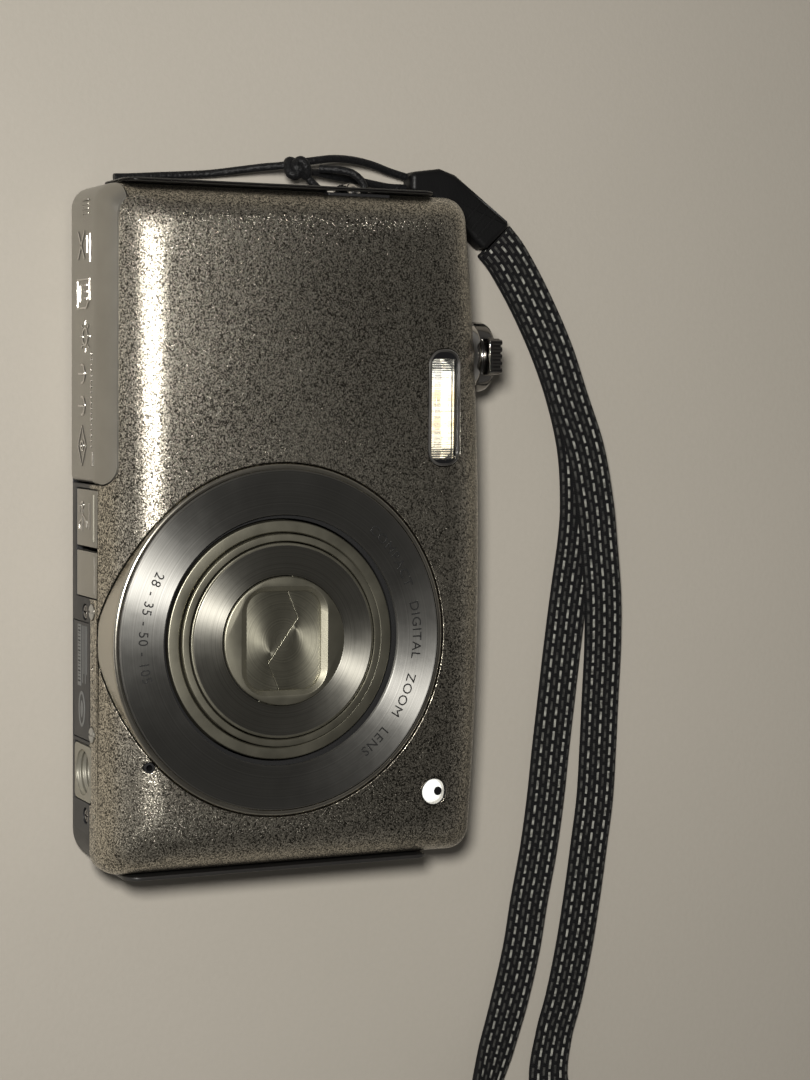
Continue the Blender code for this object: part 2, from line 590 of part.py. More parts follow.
for button_name, (button_centre, button_radius) in ROUND_BUTTONS.items():
    button_profile = [(button_radius - 0.2, CAP_TOP), (button_radius, CAP_TOP + 0.2), (button_radius, FLANGE_Z[0]),
                      (button_radius + 0.8, FLANGE_Z[0] + 0.02), (button_radius + 0.8, FLANGE_Z[1])]
    add_piece(button_name, stacked_discs(button_profile, button_centre, 20), "grey_plastic",
              (*button_centre, CAP_TOP))

pad_profile = [(PAD_HOLE_RADIUS, 0.5), (PAD_HOLE_RADIUS + 0.3, 0.3), (PAD_RADIUS - 0.4, CAP_TOP),
               (PAD_RADIUS, CAP_TOP + 0.3), (PAD_RADIUS, FLANGE_Z[0]), (PAD_RADIUS + 0.8, FLANGE_Z[0] + 0.02),
               (PAD_RADIUS + 0.8, FLANGE_Z[1]), (PAD_HOLE_RADIUS, FLANGE_Z[1])]
add_piece("multi_selector", turned(pad_profile, PAD_CENTRE, 28), "grey_plastic", (*PAD_CENTRE, CAP_TOP))
add_piece("ok_button", stacked_discs([(2.7, 0.3), (2.95, 0.5), (2.95, 2.5)], PAD_CENTRE, 20), "grey_plastic",
          (*PAD_CENTRE, 0.3))

# ---------------------------------------------------------------- inside
add_piece("main_board", box((-43.4, -17.6), (-24.0, 25.0), (3.0, 3.5)), "circuit_board")

chassis = prism(rounded_box_outline((-43.8, -26.0), (45.2, 25.4), 3.5), 3.8, 4.4)
sensor_hole = box((LENS_X - 6, LENS_X + 6), (LENS_Y - 5.5, LENS_Y + 5.5), (3, 5))
tripod_notch = box((TRIPOD_X[0] - 1, TRIPOD_X[1] + 1), (-30, -22.2), (3, 5))
slider_notch = box((-20.0, -6.0), (-30, -25.4), (3, 5))
add_piece("chassis_plate", combine(chassis, [sensor_hole, tripod_notch, slider_notch]), "steel")

card_outline = [(-40.0, -25.4), (-16.0, -25.4), (-16.0, 3.4), (-19.0, 6.6), (-40.0, 6.6)]
add_piece("memory_card", prism(card_outline, 5.0, 7.1), "black_plastic", (-28.0, -25.4, 6.0))

add_piece("battery", prism(rounded_box_outline((-43.9, -26.0), (-12.4, 13.5), 1.5, 3), 8.4, 14.2), "grey_plastic")
add_piece("battery_latch", box((-14.6, -11.2), (-26.65, -26.15), (9.4, 12.2)), "orange_plastic",
          (-12.9, -26.4, 10.8))

add_piece("flash_capacitor", stacked_discs([(3.0, -16.0), (3.3, -15.6), (3.3, 8.0)], (-8.8, 9.2), 20, "Y"),
          "black_plastic")

reflector = prism(rounded_box_outline((FLASH_X[0] + GAP, FLASH_Y[0] + GAP), (FLASH_X[1] - GAP, FLASH_Y[1] - GAP),
                                      2.0), 14.6, 19.3)
reflector_trough = loft([[(x, y, 15.4) for x, y in ((-22.5, 19.3), (-11.5, 19.3), (-11.5, 20.7), (-22.5, 20.7))],
                         [(x, y, 19.8) for x, y in ((-23.95, 18.2), (-10.05, 18.2), (-10.05, 21.9), (-23.95, 21.9))]])
add_piece("flash_reflector", combine(reflector, [reflector_trough]), "chrome")
add_piece("flash_window", box((-23.1, -10.9), (18.9, 21.2), (18.4, 19.2)), "clear_plastic")

add_piece("af_lamp_lens", stacked_discs([(1.75, 16.6), (1.75, 18.8), (1.3, 19.1), (0.6, 19.25)], AF_LAMP, 16),
          "clear_plastic")
add_piece("speaker", stacked_discs([(4.3, 10.6), (4.3, 12.0), (3.4, 12.6)], (40.2, -18.2), 24), "black_plastic")

# ---------------------------------------------------------------- wrist strap
CORD_DIAMETER = 1.1
BAND_WIDTH = 6.6
BAND_THICKNESS = 1.1

CLASP_OUTLINE = [(-51.7, 22.0), (-48.7, 22.0), (-48.2, 25.4), (-46.8, 27.3), (-40.5, 34.3), (-44.4, 38.5),
                 (-45.1, 38.2), (-51.6, 29.3), (-52.4, 26.8)]
CLASP_Z = (0.3, 3.9)


def smooth_route(points, spacing):
    """Even points along a Catmull-Rom curve through a route's own points."""
    points = [Vector(point) for point in points]
    padded = [2 * points[0] - points[1], *points, 2 * points[-1] - points[-2]]
    dense = []
    for a, b, c, d in zip(padded, padded[1:], padded[2:], padded[3:]):
        for i in range(24):
            t = i / 24
            dense.append(0.5 * (2 * b + (c - a) * t + (2 * a - 5 * b + 4 * c - d) * t ** 2
                                + (3 * b - a - 3 * c + d) * t ** 3))
    dense.append(points[-1])
    lengths = [0.0]
    for before, after in zip(dense, dense[1:]):
        lengths.append(lengths[-1] + (after - before).length)
    count = max(2, round(lengths[-1] / spacing))
    route, index = [], 0
    for i in range(count + 1):
        target = lengths[-1] * i / count
        while index < len(lengths) - 2 and lengths[index + 1] < target:
            index += 1
        share = (target - lengths[index]) / (lengths[index + 1] - lengths[index])
        route.append(dense[index].lerp(dense[index + 1], min(max(share, 0.0), 1.0)))
    return route


def add_cord(name, points, material="cord_fibre"):
    """A thin round cord as a bevelled curve with filled ends."""
    curve = bpy.data.curves.new(name, "CURVE")
    curve.dimensions = "3D"
    curve.bevel_depth = CORD_DIAMETER / 2 * MM
    curve.bevel_resolution = 2
    curve.use_fill_caps = True
    route = smooth_route(points, 2.2 * CORD_DIAMETER)
    spline = curve.splines.new("POLY")
    spline.points.add(len(route) - 1)
    for spline_point, place in zip(spline.points, route):
        spline_point.co = (*(place * MM), 1.0)
    curve.materials.append(MATERIALS[material])
    cord = bpy.data.objects.new(name, curve)
    bpy.context.scene.collection.objects.link(cord)
    cord.parent = FRAME
    return cord


def flat_band(points, width, thickness):
    """A flat strip along (x, y, underside, roll) points; roll in degrees turns it up on its edge."""
    centres = []
    for x, y, underside, roll in points:
        lean = math.radians(roll)
        centres.append((x, y, underside + (width * math.sin(lean) + thickness * math.cos(lean)) / 2))
    reach = [0.0]
    for before, after in zip(centres, centres[1:]):
        reach.append(reach[-1] + math.dist(before, after))
    route = smooth_route(centres, 3.4)
    rings = []
    for i, place in enumerate(route):
        before, after = route[max(i - 1, 0)], route[min(i + 1, len(route) - 1)]
        direction = (after - before).normalized()
        along = reach[-1] * i / (len(route) - 1)
        k = 0
        while k < len(reach) - 2 and reach[k + 1] < along:
            k += 1
        share = min(max((along - reach[k]) / (reach[k + 1] - reach[k]), 0.0), 1.0)
        roll = math.radians(points[k][3] + (points[k + 1][3] - points[k][3]) * share)
        flat = Vector((direction.y, -direction.x, 0.0)).normalized()
        upright = flat.cross(direction).normalized()
        across = flat * math.cos(roll) + upright * math.sin(roll)
        normal = direction.cross(across).normalized()
        corners = ((-1, -1), (1, -1), (1, 1), (-1, 1))
        rings.append([place + across * (a * width / 2) + normal * (b * thickness / 2) for a, b in corners])
    return loft(rings)


add_piece("strap_clasp", prism(CLASP_OUTLINE, *CLASP_Z), "black_plastic")

LOW, HIGH = 0.1, 1.4                   # underside of the band on the table and on its other strand
BAND_ROUTE = [
    (-42.1, 36.7, 0.5, 0), (-39.4, 39.3, LOW, 0), (-33.5, 43.1, LOW, 0), (-26.0, 47.0, LOW, 0),
    (-18.3, 50.0, LOW, 0), (-10.7, 51.9, LOW, 0), (-2.9, 52.5, LOW, 0), (3.2, 52.2, LOW, 0),
    (12.4, 50.9, LOW, 0), (20.2, 49.9, LOW, 0), (28.0, 49.0, LOW, 0), (35.8, 48.1, LOW, 0),
    (43.5, 47.3, LOW, 0), (51.3, 46.2, LOW, 0), (59.0, 44.7, LOW, 0), (66.7, 43.4, LOW, 0),
    (74.4, 41.5, LOW, 0), (82.0, 39.0, LOW, 6), (90.0, 35.6, 0.3, 30), (98.0, 32.3, 0.4, 60),
    (105.0, 31.0, 0.3, 84), (112.0, 33.0, 0.2, 90), (116.5, 38.6, 0.2, 90), (116.0, 45.6, 0.2, 90),
    (110.5, 50.4, 0.3, 84), (103.5, 50.9, 0.4, 60), (96.0, 49.8, 0.3, 30), (88.0, 48.3, LOW, 6),
    (81.0, 49.3, LOW, 0), (75.0, 51.0, LOW, 0), (67.2, 52.7, LOW, 0), (59.4, 54.0, LOW, 0),
    (51.5, 55.1, LOW, 0), (43.7, 56.1, LOW, 0), (36.0, 56.5, LOW, 0), (28.2, 56.8, LOW, 0),
    (20.2, 56.9, 0.5, 0), (12.4, 56.4, 1.2, 0), (3.2, 55.4, HIGH, 0), (-2.9, 54.6, HIGH, 0),
    (-10.7, 52.9, HIGH, 0), (-18.3, 50.0, HIGH, 0), (-26.0, 47.0, HIGH, 0), (-33.5, 43.1, HIGH, 0),
    (-39.4, 39.3, 1.6, 0), (-42.1, 36.7, 2.0, 0),
]
add_piece("strap_band", flat_band(BAND_ROUTE, BAND_WIDTH, BAND_THICKNESS), "webbing")

KNOT_CENTRE = (-51.1, 3.0, 6.2)
KNOT_RADII = (2.5, 2.1, 2.0)
knot = bmesh.new()
bmesh.ops.create_icosphere(knot, subdivisions=2, radius=1.0)
for vertex in knot.verts:
    vertex.co = Vector([c + v * r for c, v, r in zip(KNOT_CENTRE, vertex.co, KNOT_RADII)])
add_piece("cord_knot", knot, "cord_fibre")

add_cord("cord_leg_upper", [(-52.3, 5.5, 6.6), (-52.75, 8.5, 6.0), (-52.8, 12.0, 5.0), (-52.4, 15.5, 3.9),
                            (-51.6, 18.9, 2.9), (-51.0, 21.7, 2.5)])
add_cord("cord_leg_lower", [(-50.8, 5.7, 5.2), (-50.4, 9.0, 4.7), (-50.1, 12.5, 4.0), (-49.7, 16.0, 3.1),
                            (-49.4, 19.0, 2.4), (-49.4, 21.7, 2.1)])
add_cord("cord_eyelet_loop", [(-49.1, 4.9, 6.9), (-47.8, 5.9, 8.0), (-46.5, 7.2, 9.0), (-45.9, 8.8, 9.6),
                              (-46.3, 10.5, 9.9), (-47.6, 11.6, 10.1), (-49.1, 11.4, 10.1), (-50.4, 10.0, 9.8),
                              (-50.9, 8.2, 9.1), (-51.0, 6.6, 8.3), (-51.1, 5.6, 7.8)])
add_cord("cord_tail", [(-51.4, 0.6, 5.6), (-51.2, -1.5, 4.6), (-50.7, -5.0, 3.0), (-50.2, -8.5, 1.6),
                       (-49.9, -12.0, 0.8), (-49.6, -16.0, 0.6), (-49.3, -19.5, 0.6), (-49.1, -22.6, 0.6)])
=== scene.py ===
"""Looks of the compact digital camera and its wrist strap.

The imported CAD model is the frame.  Shapes here are written in the body's own axes, in millimetres:
X along the width to the lens end, Y to the side with the shutter button, Z out of the lens, Z = 0
on the rear face.  to_world() carries them into the frame, in metres.
"""
import math
import random

import bmesh
import bpy
from mathutils import Matrix, Vector


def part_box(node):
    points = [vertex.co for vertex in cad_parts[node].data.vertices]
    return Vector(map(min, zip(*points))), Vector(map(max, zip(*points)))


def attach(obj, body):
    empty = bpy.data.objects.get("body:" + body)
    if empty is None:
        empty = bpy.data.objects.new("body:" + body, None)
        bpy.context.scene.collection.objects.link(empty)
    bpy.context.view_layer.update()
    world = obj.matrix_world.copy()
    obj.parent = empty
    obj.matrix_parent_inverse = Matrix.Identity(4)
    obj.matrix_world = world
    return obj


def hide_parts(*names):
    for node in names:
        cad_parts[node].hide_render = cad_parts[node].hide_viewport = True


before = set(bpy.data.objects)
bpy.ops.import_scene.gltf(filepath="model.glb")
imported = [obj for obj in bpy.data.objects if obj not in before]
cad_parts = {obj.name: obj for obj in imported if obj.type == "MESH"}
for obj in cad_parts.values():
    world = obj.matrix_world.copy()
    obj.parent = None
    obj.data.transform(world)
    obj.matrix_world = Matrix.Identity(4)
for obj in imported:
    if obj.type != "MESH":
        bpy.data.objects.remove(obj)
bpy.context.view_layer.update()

MM = 0.001
LENS_CENTRE = LENS_X, LENS_Y = 15.0, -4.3
ring_low, ring_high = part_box("cam_ring")
AXIS = (ring_low + ring_high) / 2                     # the lens axis, from the CAD model
SHIFT = Vector((AXIS.x - LENS_X * MM, AXIS.y - LENS_Y * MM, 0.0))


def to_world(point):
    """A point in body millimetres, carried into the frame."""
    return Vector(point) * MM + SHIFT


def add_object(name, data):
    """A new object in the scene."""
    made = bpy.data.objects.new(name, data)
    bpy.context.scene.collection.objects.link(made)
    return made


# ---------------------------------------------------------------- camera
CAMERA_PLACE = (-19.44, -126.09, 321.57)
CAMERA_BACK = (-0.0626, -0.4203, 0.9052)          # from the object towards the camera
CAMERA_RIGHT = (-0.0087, 0.9072, 0.4206)
SENSOR_WIDTH, FOCAL_LENGTH = 36.0, 78.89


def add_camera():
    """A camera at the photograph's place and angle, in the body's axes."""
    back = Vector(CAMERA_BACK).normalized()
    right = Vector(CAMERA_RIGHT)
    right = (right - back * right.dot(back)).normalized()
    up = back.cross(right)
    data = bpy.data.cameras.new("photo_camera")
    data.sensor_width = SENSOR_WIDTH
    data.lens = FOCAL_LENGTH
    data.clip_start = 0.01
    data.clip_end = 10.0
    camera = add_object("photo_camera", data)
    turn = Matrix((right, up, back)).transposed().to_4x4()
    camera.matrix_world = Matrix.Translation(to_world(CAMERA_PLACE)) @ turn
    bpy.context.scene.camera = camera
    return camera


camera = add_camera()

# ---------------------------------------------------------------- shader helpers


class Shader:
    """A small wrapper that builds one node material."""

    def __init__(self, name, color, roughness, metallic, **fixed):
        self.material = bpy.data.materials.new(name)
        self.material.use_nodes = True
        self.tree = self.material.node_tree
        self.bsdf = self.tree.nodes["Principled BSDF"]
        self.bsdf.inputs["Base Color"].default_value = (*color, 1.0)
        self.bsdf.inputs["Roughness"].default_value = roughness
        self.bsdf.inputs["Metallic"].default_value = metallic
        for key, value in fixed.items():
            self.bsdf.inputs[key.replace("_", " ")].default_value = value
        self.coords = self.add("ShaderNodeTexCoord").outputs["Object"]

    def add(self, kind, settings=None, **inputs):
        node = self.tree.nodes.new(kind)
        for key, value in (settings or {}).items():
            setattr(node, key, value)
        for key, value in inputs.items():
            name = int(key[1:]) if key[0] == "i" and key[1:].isdigit() else key.replace("_", " ")
            self.put(node.inputs[name], value)
        return node

    def put(self, socket, value):
        if isinstance(value, bpy.types.NodeSocket):
            self.tree.links.new(value, socket)
        else:
            socket.default_value = value

    def set(self, **inputs):
        for key, value in inputs.items():
            self.put(self.bsdf.inputs[key.replace("_", " ")], value)
        return self

    def noise(self, scale, detail, roughness=0.5, vector=None):
        return self.add("ShaderNodeTexNoise", Vector=vector or self.coords, Scale=scale, Detail=detail,
                        Roughness=roughness).outputs["Fac"]

    def cells(self, scale, feature="F1"):
        return self.add("ShaderNodeTexVoronoi", {"feature": feature}, Vector=self.coords, Scale=scale)

    def math(self, operation, a, b=0.0):
        return self.add("ShaderNodeMath", {"operation": operation}, i0=a, i1=b).outputs[0]

    def plus(self, a, b):
        return self.math("ADD", a, b)

    def times(self, a, b):
        return self.math("MULTIPLY", a, b)

    def span(self, value, low, high, to_low=0.0, to_high=1.0):
        return self.add("ShaderNodeMapRange", Value=value, From_Min=low, From_Max=high, To_Min=to_low,
                        To_Max=to_high).outputs["Result"]

    def mix(self, factor, a, b):
        node = self.add("ShaderNodeMix", {"data_type": "RGBA"})
        self.put(node.inputs[0], factor)
        self.put(node.inputs[6], (*a, 1.0) if isinstance(a, tuple) else a)
        self.put(node.inputs[7], (*b, 1.0) if isinstance(b, tuple) else b)
        return node.outputs[2]

    def split(self, vector=None):
        node = self.add("ShaderNodeSeparateXYZ", Vector=vector or self.coords)
        return node.outputs[0], node.outputs[1], node.outputs[2]

    def bump(self, height, distance, strength=1.0, normal=None):
        node = self.add("ShaderNodeBump", Height=height, Distance=distance, Strength=strength)
        if normal is not None:
            self.put(node.inputs["Normal"], normal)
        return node.outputs["Normal"]

    def vector_math(self, operation, a, b):
        return self.add("ShaderNodeVectorMath", {"operation": operation}, i0=a, i1=b)

    def lens_radius(self):
        """Distance from the lens axis, in metres."""
        moved = self.vector_math("SUBTRACT", self.coords, (AXIS.x, AXIS.y, 0.0)).outputs[0]
        flat = self.vector_math("MULTIPLY", moved, (1.0, 1.0, 0.0)).outputs[0]
        return self.vector_math("LENGTH", flat, (0.0, 0.0, 0.0)).outputs["Value"]


def shade(color, factor):
    return tuple(min(1.0, c * factor) for c in color)


def sparkle_paint(name, dark, light):
    """Metallic paint with coarse flakes, slightly orange-peeled, on a slightly convex front face."""
    s = Shader(name, light, 0.4, 1.0)
    flakes_per_metre, grit_per_metre, wear_per_metre = 6800, 7200, 35
    flake = s.add("ShaderNodeSeparateColor", Color=s.cells(flakes_per_metre).outputs["Color"]).outputs[0]
    grit = s.noise(grit_per_metre, 2.0, 0.6)
    wear = s.noise(wear_per_metre, 3)
    tone = s.plus(s.times(flake, 0.45), s.times(grit, 0.55))
    tone = s.plus(tone, s.span(wear, 0.3, 0.7, -0.05, 0.05))
    x, y, _ = s.split()
    swell = s.plus(s.times(s.times(x, x), -0.65), s.times(s.times(y, y), -1.4))
    crown = s.bump(swell, 1.0)
    relief = s.plus(grit, s.times(flake, 0.3))
    s.set(Base_Color=s.mix(s.span(tone, 0.36, 0.68), dark, light),
          Roughness=s.span(tone, 0.2, 0.8, 0.4, 0.24),
          Normal=s.bump(relief, 0.000055, 0.75, crown))
    return s.material


def satin_metal(name, color, roughness, metallic=1.0):
    """Finely blasted metal with faint smudges."""
    s = Shader(name, color, roughness, metallic)
    fine, smudge = s.noise(5000, 2), s.noise(90, 4, 0.6)
    s.set(Base_Color=s.mix(s.span(smudge, 0.3, 0.75), shade(color, 0.86), shade(color, 1.08)),
          Roughness=s.span(smudge, 0.25, 0.75, roughness * 0.85, roughness * 1.2),
          Normal=s.bump(fine, 0.000006))
    return s.material


def spun_metal(name, color, roughness, anisotropy):
    """Metal with fine circular grooves about the lens axis."""
    s = Shader(name, color, roughness, 1.0, Anisotropic=anisotropy, Anisotropic_Rotation=0.25)
    grooves_per_metre = 5200.0
    groove = s.add("ShaderNodeTexNoise", {"noise_dimensions": "1D"}, W=s.lens_radius(),
                   Scale=grooves_per_metre, Detail=3.0).outputs["Fac"]
    blotch = s.noise(140, 4, 0.6)
    s.set(Base_Color=s.mix(s.span(groove, 0.3, 0.7), shade(color, 0.82), shade(color, 1.12)),
          Roughness=s.span(blotch, 0.25, 0.75, roughness * 0.85, roughness * 1.25),
          Normal=s.bump(groove, 0.000008, 0.6),
          Tangent=s.add("ShaderNodeTangent", {"direction_type": "RADIAL", "axis": "Z"}).outputs[0])
    return s.material


def plastic(name, color, roughness=0.45, grain=6000, depth=0.00001, **fixed):
    """Moulded plastic with a fine texture and slight wear."""
    s = Shader(name, color, roughness, 0.0, **fixed)
    fine, smudge = s.noise(grain, 2), s.noise(60, 4, 0.6)
    mottling, lift = 0.12, 0.001
    low = tuple(c * (1 - mottling) for c in color)
    high = tuple(min(1.0, c * (1 + mottling) + lift) for c in color)
    s.set(Base_Color=s.mix(s.span(smudge, 0.3, 0.7), low, high),
          Roughness=s.span(smudge, 0.25, 0.75, roughness * 0.85, min(1.0, roughness * 1.2)),
          Normal=s.bump(fine, depth))
    return s.material


def chrome_like(name, color=(0.62, 0.6, 0.57), roughness=0.1):
    """Polished metal, slightly smudged."""
    s = Shader(name, color, roughness, 1.0)
    smudge = s.noise(160, 4, 0.6)
    s.set(Roughness=s.span(smudge, 0.3, 0.75, roughness * 0.7, roughness * 1.6),
          Base_Color=s.mix(s.span(smudge, 0.3, 0.7), shade(color, 0.92), color))
    return s.material


def woven_band(name):
    """Black webbing: lengthwise ribs with light dashes between them; needs the strip's own map."""
    s = Shader(name, (0.012, 0.012, 0.013), 0.75, 0.0, Sheen_Weight=0.02, Specular_IOR_Level=0.12)
    place = s.add("ShaderNodeUVMap", {"uv_map": "strip"}).outputs[0]
    across, along, _ = s.split(place)                 # 0 to 1 across, millimetres along
    lanes, pitch, stagger = 7.0, 1.9, 0.83            # pitch and stagger of the dashes in millimetres
    lane = s.times(across, lanes)
    number = s.math("FLOOR", lane)
    middle = s.math("ABSOLUTE", s.math("SUBTRACT", s.math("FRACT", lane), 0.5))
    jitter = s.times(s.noise(700, 2), 0.5)
    place_in_row = s.plus(s.plus(along, s.times(number, stagger)), jitter)
    step = s.math("FRACT", s.math("DIVIDE", place_in_row, pitch))
    off_centre = s.math("ABSOLUTE", s.math("SUBTRACT", step, 0.5))
    dash = s.times(s.math("LESS_THAN", off_centre, 0.34), s.math("LESS_THAN", middle, 0.2))
    odd = s.math("GREATER_THAN", s.math("MODULO", number, 2.0), 0.5)
    fleck = s.times(dash, s.span(odd, 0, 1, 0.14, 0.85))
    dull = s.span(s.noise(1500, 2), 0.35, 0.65, 0.25, 1.0)
    pale = s.times(fleck, dull)
    thread = s.math("ABSOLUTE", s.math("SINE", s.plus(s.times(along, 11.0), s.times(middle, 5.0))))
    cloth = s.mix(s.span(thread, 0, 1), (0.002, 0.002, 0.0022), (0.012, 0.012, 0.013))
    s.set(Base_Color=s.mix(pale, cloth, (0.5, 0.5, 0.45)),
          Roughness=s.span(thread, 0, 1, 0.9, 0.62),
          Normal=s.bump(s.plus(s.times(thread, 0.5), fleck), 0.00012, 0.8))
    return s.material


def braided_cord(name):
    """Black cord with a fine braid."""
    s = Shader(name, (0.01, 0.01, 0.011), 0.5, 0.0, Sheen_Weight=0.02, Specular_IOR_Level=0.2)
    wave = s.cells(2600, feature="SMOOTH_F1").outputs["Distance"]
    fine = s.noise(6000, 2)
    s.set(Base_Color=s.mix(s.span(fine, 0.3, 0.7), (0.002, 0.002, 0.0022), (0.014, 0.014, 0.015)),
          Normal=s.bump(wave, 0.00015, 0.8))
    return s.material


def glass_material(name, color, roughness, **fixed):
    """Clear or dark glass with faint dust."""
    s = Shader(name, color, roughness, 0.0, **fixed)
    dust = s.noise(240, 4, 0.6)
    s.set(Roughness=s.span(dust, 0.4, 0.8, roughness, roughness + 0.06))
    return s.material


def circuit_material(name):
    """Green solder mask over faint copper tracks."""
    s = Shader(name, (0.02, 0.11, 0.05), 0.35, 0.0, Coat_Weight=0.3)
    tracks = s.add("ShaderNodeTexBrick", Vector=s.coords, Scale=160.0, Mortar_Size=0.012).outputs["Fac"]
    via = s.math("LESS_THAN", s.cells(420).outputs["Distance"], 0.12)
    base = s.mix(tracks, (0.012, 0.085, 0.035), (0.03, 0.17, 0.07))
    s.set(Base_Color=s.mix(via, base, (0.6, 0.55, 0.3)), Normal=s.bump(tracks, 0.00004))
    return s.material


def reflector_with_painted_glow(name):
    """Flash reflector: pale stripes of the tube and the bent mirror seen through the window, drawn as a
    painted glow. The emission stands in for the highlight and reflection in a flash that is not firing.
    """
    s = Shader(name, (0.9, 0.88, 0.8), 0.12, 1.0, Emission_Strength=1.25)
    x, _, _ = s.split()
    stripe = s.noise(1500, 1, vector=s.add("ShaderNodeCombineXYZ", X=x).outputs[0])
    warm = s.noise(260, 1, vector=s.add("ShaderNodeCombineXYZ", X=x).outputs[0])
    glow = s.mix(s.span(warm, 0.42, 0.6), (1.0, 0.97, 0.9), (0.95, 0.72, 0.35))
    # painted highlight: emitted warm stripes stand in for the reflection in the flash window
    s.set(Emission_Color=s.mix(s.span(stripe, 0.36, 0.5), (0.12, 0.1, 0.07), glow))
    return s.material


def lamp_material(name, color, strength):
    """A softly glowing lens."""
    s = Shader(name, shade(color, 0.8), 0.12, 0.0, Coat_Weight=0.4, Emission_Strength=strength)
    swirl = s.noise(900, 3)
    s.set(Emission_Color=s.mix(s.span(swirl, 0.35, 0.65), shade(color, 0.7), color))
    return s.material


MATERIALS = {}


def finish(name, maker, *values, **fixed):
    """Make a material under its own name."""
    MATERIALS[name] = maker(name, *values, **fixed)


finish("champagne_paint", sparkle_paint, (0.042, 0.0385, 0.032), (0.74, 0.685, 0.575))
finish("satin_champagne", satin_metal, (0.34, 0.325, 0.29), 0.3, 0.8)
finish("champagne_metal", satin_metal, (0.33, 0.315, 0.25), 0.4, 1.0)
finish("bezel_metal", satin_metal, (0.52, 0.49, 0.42), 0.24, 1.0)
finish("brushed_gunmetal", spun_metal, (0.34, 0.335, 0.315), 0.42, 0.9)
finish("blade_metal", spun_metal, (0.53, 0.51, 0.405), 0.36, 0.6)
finish("chrome", chrome_like)
finish("dark_chrome", chrome_like, (0.22, 0.21, 0.20), 0.13)
finish("steel", satin_metal, (0.52, 0.52, 0.50), 0.3, 1.0)
finish("cream_metal", satin_metal, (0.36, 0.345, 0.29), 0.38, 0.6)
finish("black_plastic", plastic, (0.012, 0.012, 0.013), 0.42)
finish("grey_plastic", plastic, (0.17, 0.168, 0.16), 0.4)
finish("trim_plastic", plastic, (0.022, 0.021, 0.02), 0.3)
finish("orange_plastic", plastic, (0.75, 0.22, 0.03), 0.4)
finish("label_film", plastic, (0.018, 0.0185, 0.02), 0.4)
finish("label_print", plastic, (0.2, 0.205, 0.2), 0.5)
finish("ink", plastic, (0.012, 0.012, 0.012), 0.5)
finish("white_print", plastic, (0.62, 0.62, 0.6), 0.5)
finish("battery_label", plastic, (0.09, 0.095, 0.11), 0.45)
finish("gold_contact", satin_metal, (0.8, 0.58, 0.22), 0.25, 1.0)
finish("red_print", plastic, (0.55, 0.02, 0.015), 0.4)
finish("webbing", woven_band)
finish("cord_fibre", braided_cord)
finish("clasp_plastic", plastic, (0.004, 0.004, 0.0042), 0.42, 3500, 0.00003, Specular_IOR_Level=0.25)
finish("black_gloss", plastic, (0.008, 0.008, 0.009), 0.15)
finish("seal_felt", plastic, (0.006, 0.006, 0.0065), 0.9, 4200, 0.00005)
finish("brushed_ring", spun_metal, (0.36, 0.35, 0.31), 0.42, 0.9)
finish("display_back", plastic, (0.03, 0.033, 0.045), 0.3)
finish("battery_shell", plastic, (0.045, 0.046, 0.05), 0.42)
finish("screen_glass", glass_material, (0.010, 0.011, 0.014), 0.05, Coat_Weight=0.6, Coat_Roughness=0.03)
finish("lens_glass", glass_material, (0.55, 0.62, 0.75), 0.01, Transmission_Weight=0.85, IOR=1.6,
       Coat_Weight=0.5)
finish("clear_plastic", glass_material, (0.96, 0.96, 0.93), 0.02, Transmission_Weight=0.95, IOR=1.35)
finish("circuit_board", circuit_material)
# the flash mirror's glow is a painted highlight and reflection, not a lit flash
finish("flash_mirror", reflector_with_painted_glow)
finish("lamp_glow", lamp_material, (0.95, 0.96, 0.92), 0.7)
finish("lamp_green", lamp_material, (0.05, 0.3, 0.09), 0.15)

# ---------------------------------------------------------------- mesh helpers, body millimetres


def loft(rings, closed=False):
    """Skin rings of equal point counts; an open stack gets a cap on each end."""
    shape = bmesh.new()
    loops = [[shape.verts.new(point) for point in ring] for ring in rings]
    pairs = list(zip(loops, loops[1:]))
    if closed:
        pairs.append((loops[-1], loops[0]))
    else:
        shape.faces.new(loops[0])
        shape.faces.new(loops[-1])
    count = len(rings[0])
    for lower, upper in pairs:
        for i in range(count):
            j = (i + 1) % count
            shape.faces.new((lower[i], lower[j], upper[j], upper[i]))
    return shape


ALONG = {                              # a point of an outline, at height h along an axis
    "X": lambda a, b, h: (h, a, b),
    "Y": lambda a, b, h: (a, h, b),
    "Z": lambda a, b, h: (a, b, h),
}


def prism(outline, low, high, axis="Z"):
    """An outline pushed from low to high along an axis."""
    place = ALONG[axis]
    return loft([[place(a, b, h) for a, b in outline] for h in (low, high)])


def box(x_range, y_range, z_range):
    (x0, x1), (y0, y1) = x_range, y_range
    return prism([(x0, y0), (x1, y0), (x1, y1), (x0, y1)], *z_range)


def grown(span, by):
    """A range made longer at both ends."""
    return span[0] - by, span[1] + by


def polar(centre, radius, angle):
    return centre[0] + radius * math.cos(angle), centre[1] + radius * math.sin(angle)


def arc(centre, radius, start, end, steps):
    """Points from start to end, in degrees."""
    return [polar(centre, radius, math.radians(start + (end - start) * i / steps)) for i in range(steps + 1)]


def circle(centre, radius, steps=48):
    return arc(centre, radius, 0, 360 * (steps - 1) / steps, steps - 1)


def ellipse(centre, half_a, half_b, steps):
    turns = (2 * math.pi * i / steps for i in range(steps))
    return [(centre[0] + half_a * math.cos(a), centre[1] + half_b * math.sin(a)) for a in turns]


def rounded(low, high, radius, steps=8):
    """A rectangle with round corners."""
    (a0, b0), (a1, b1) = low, high
    return (arc((a0 + radius, b0 + radius), radius, 180, 270, steps)
            + arc((a1 - radius, b0 + radius), radius, 270, 360, steps)
            + arc((a1 - radius, b1 - radius), radius, 0, 90, steps)
            + arc((a0 + radius, b1 - radius), radius, 90, 180, steps))


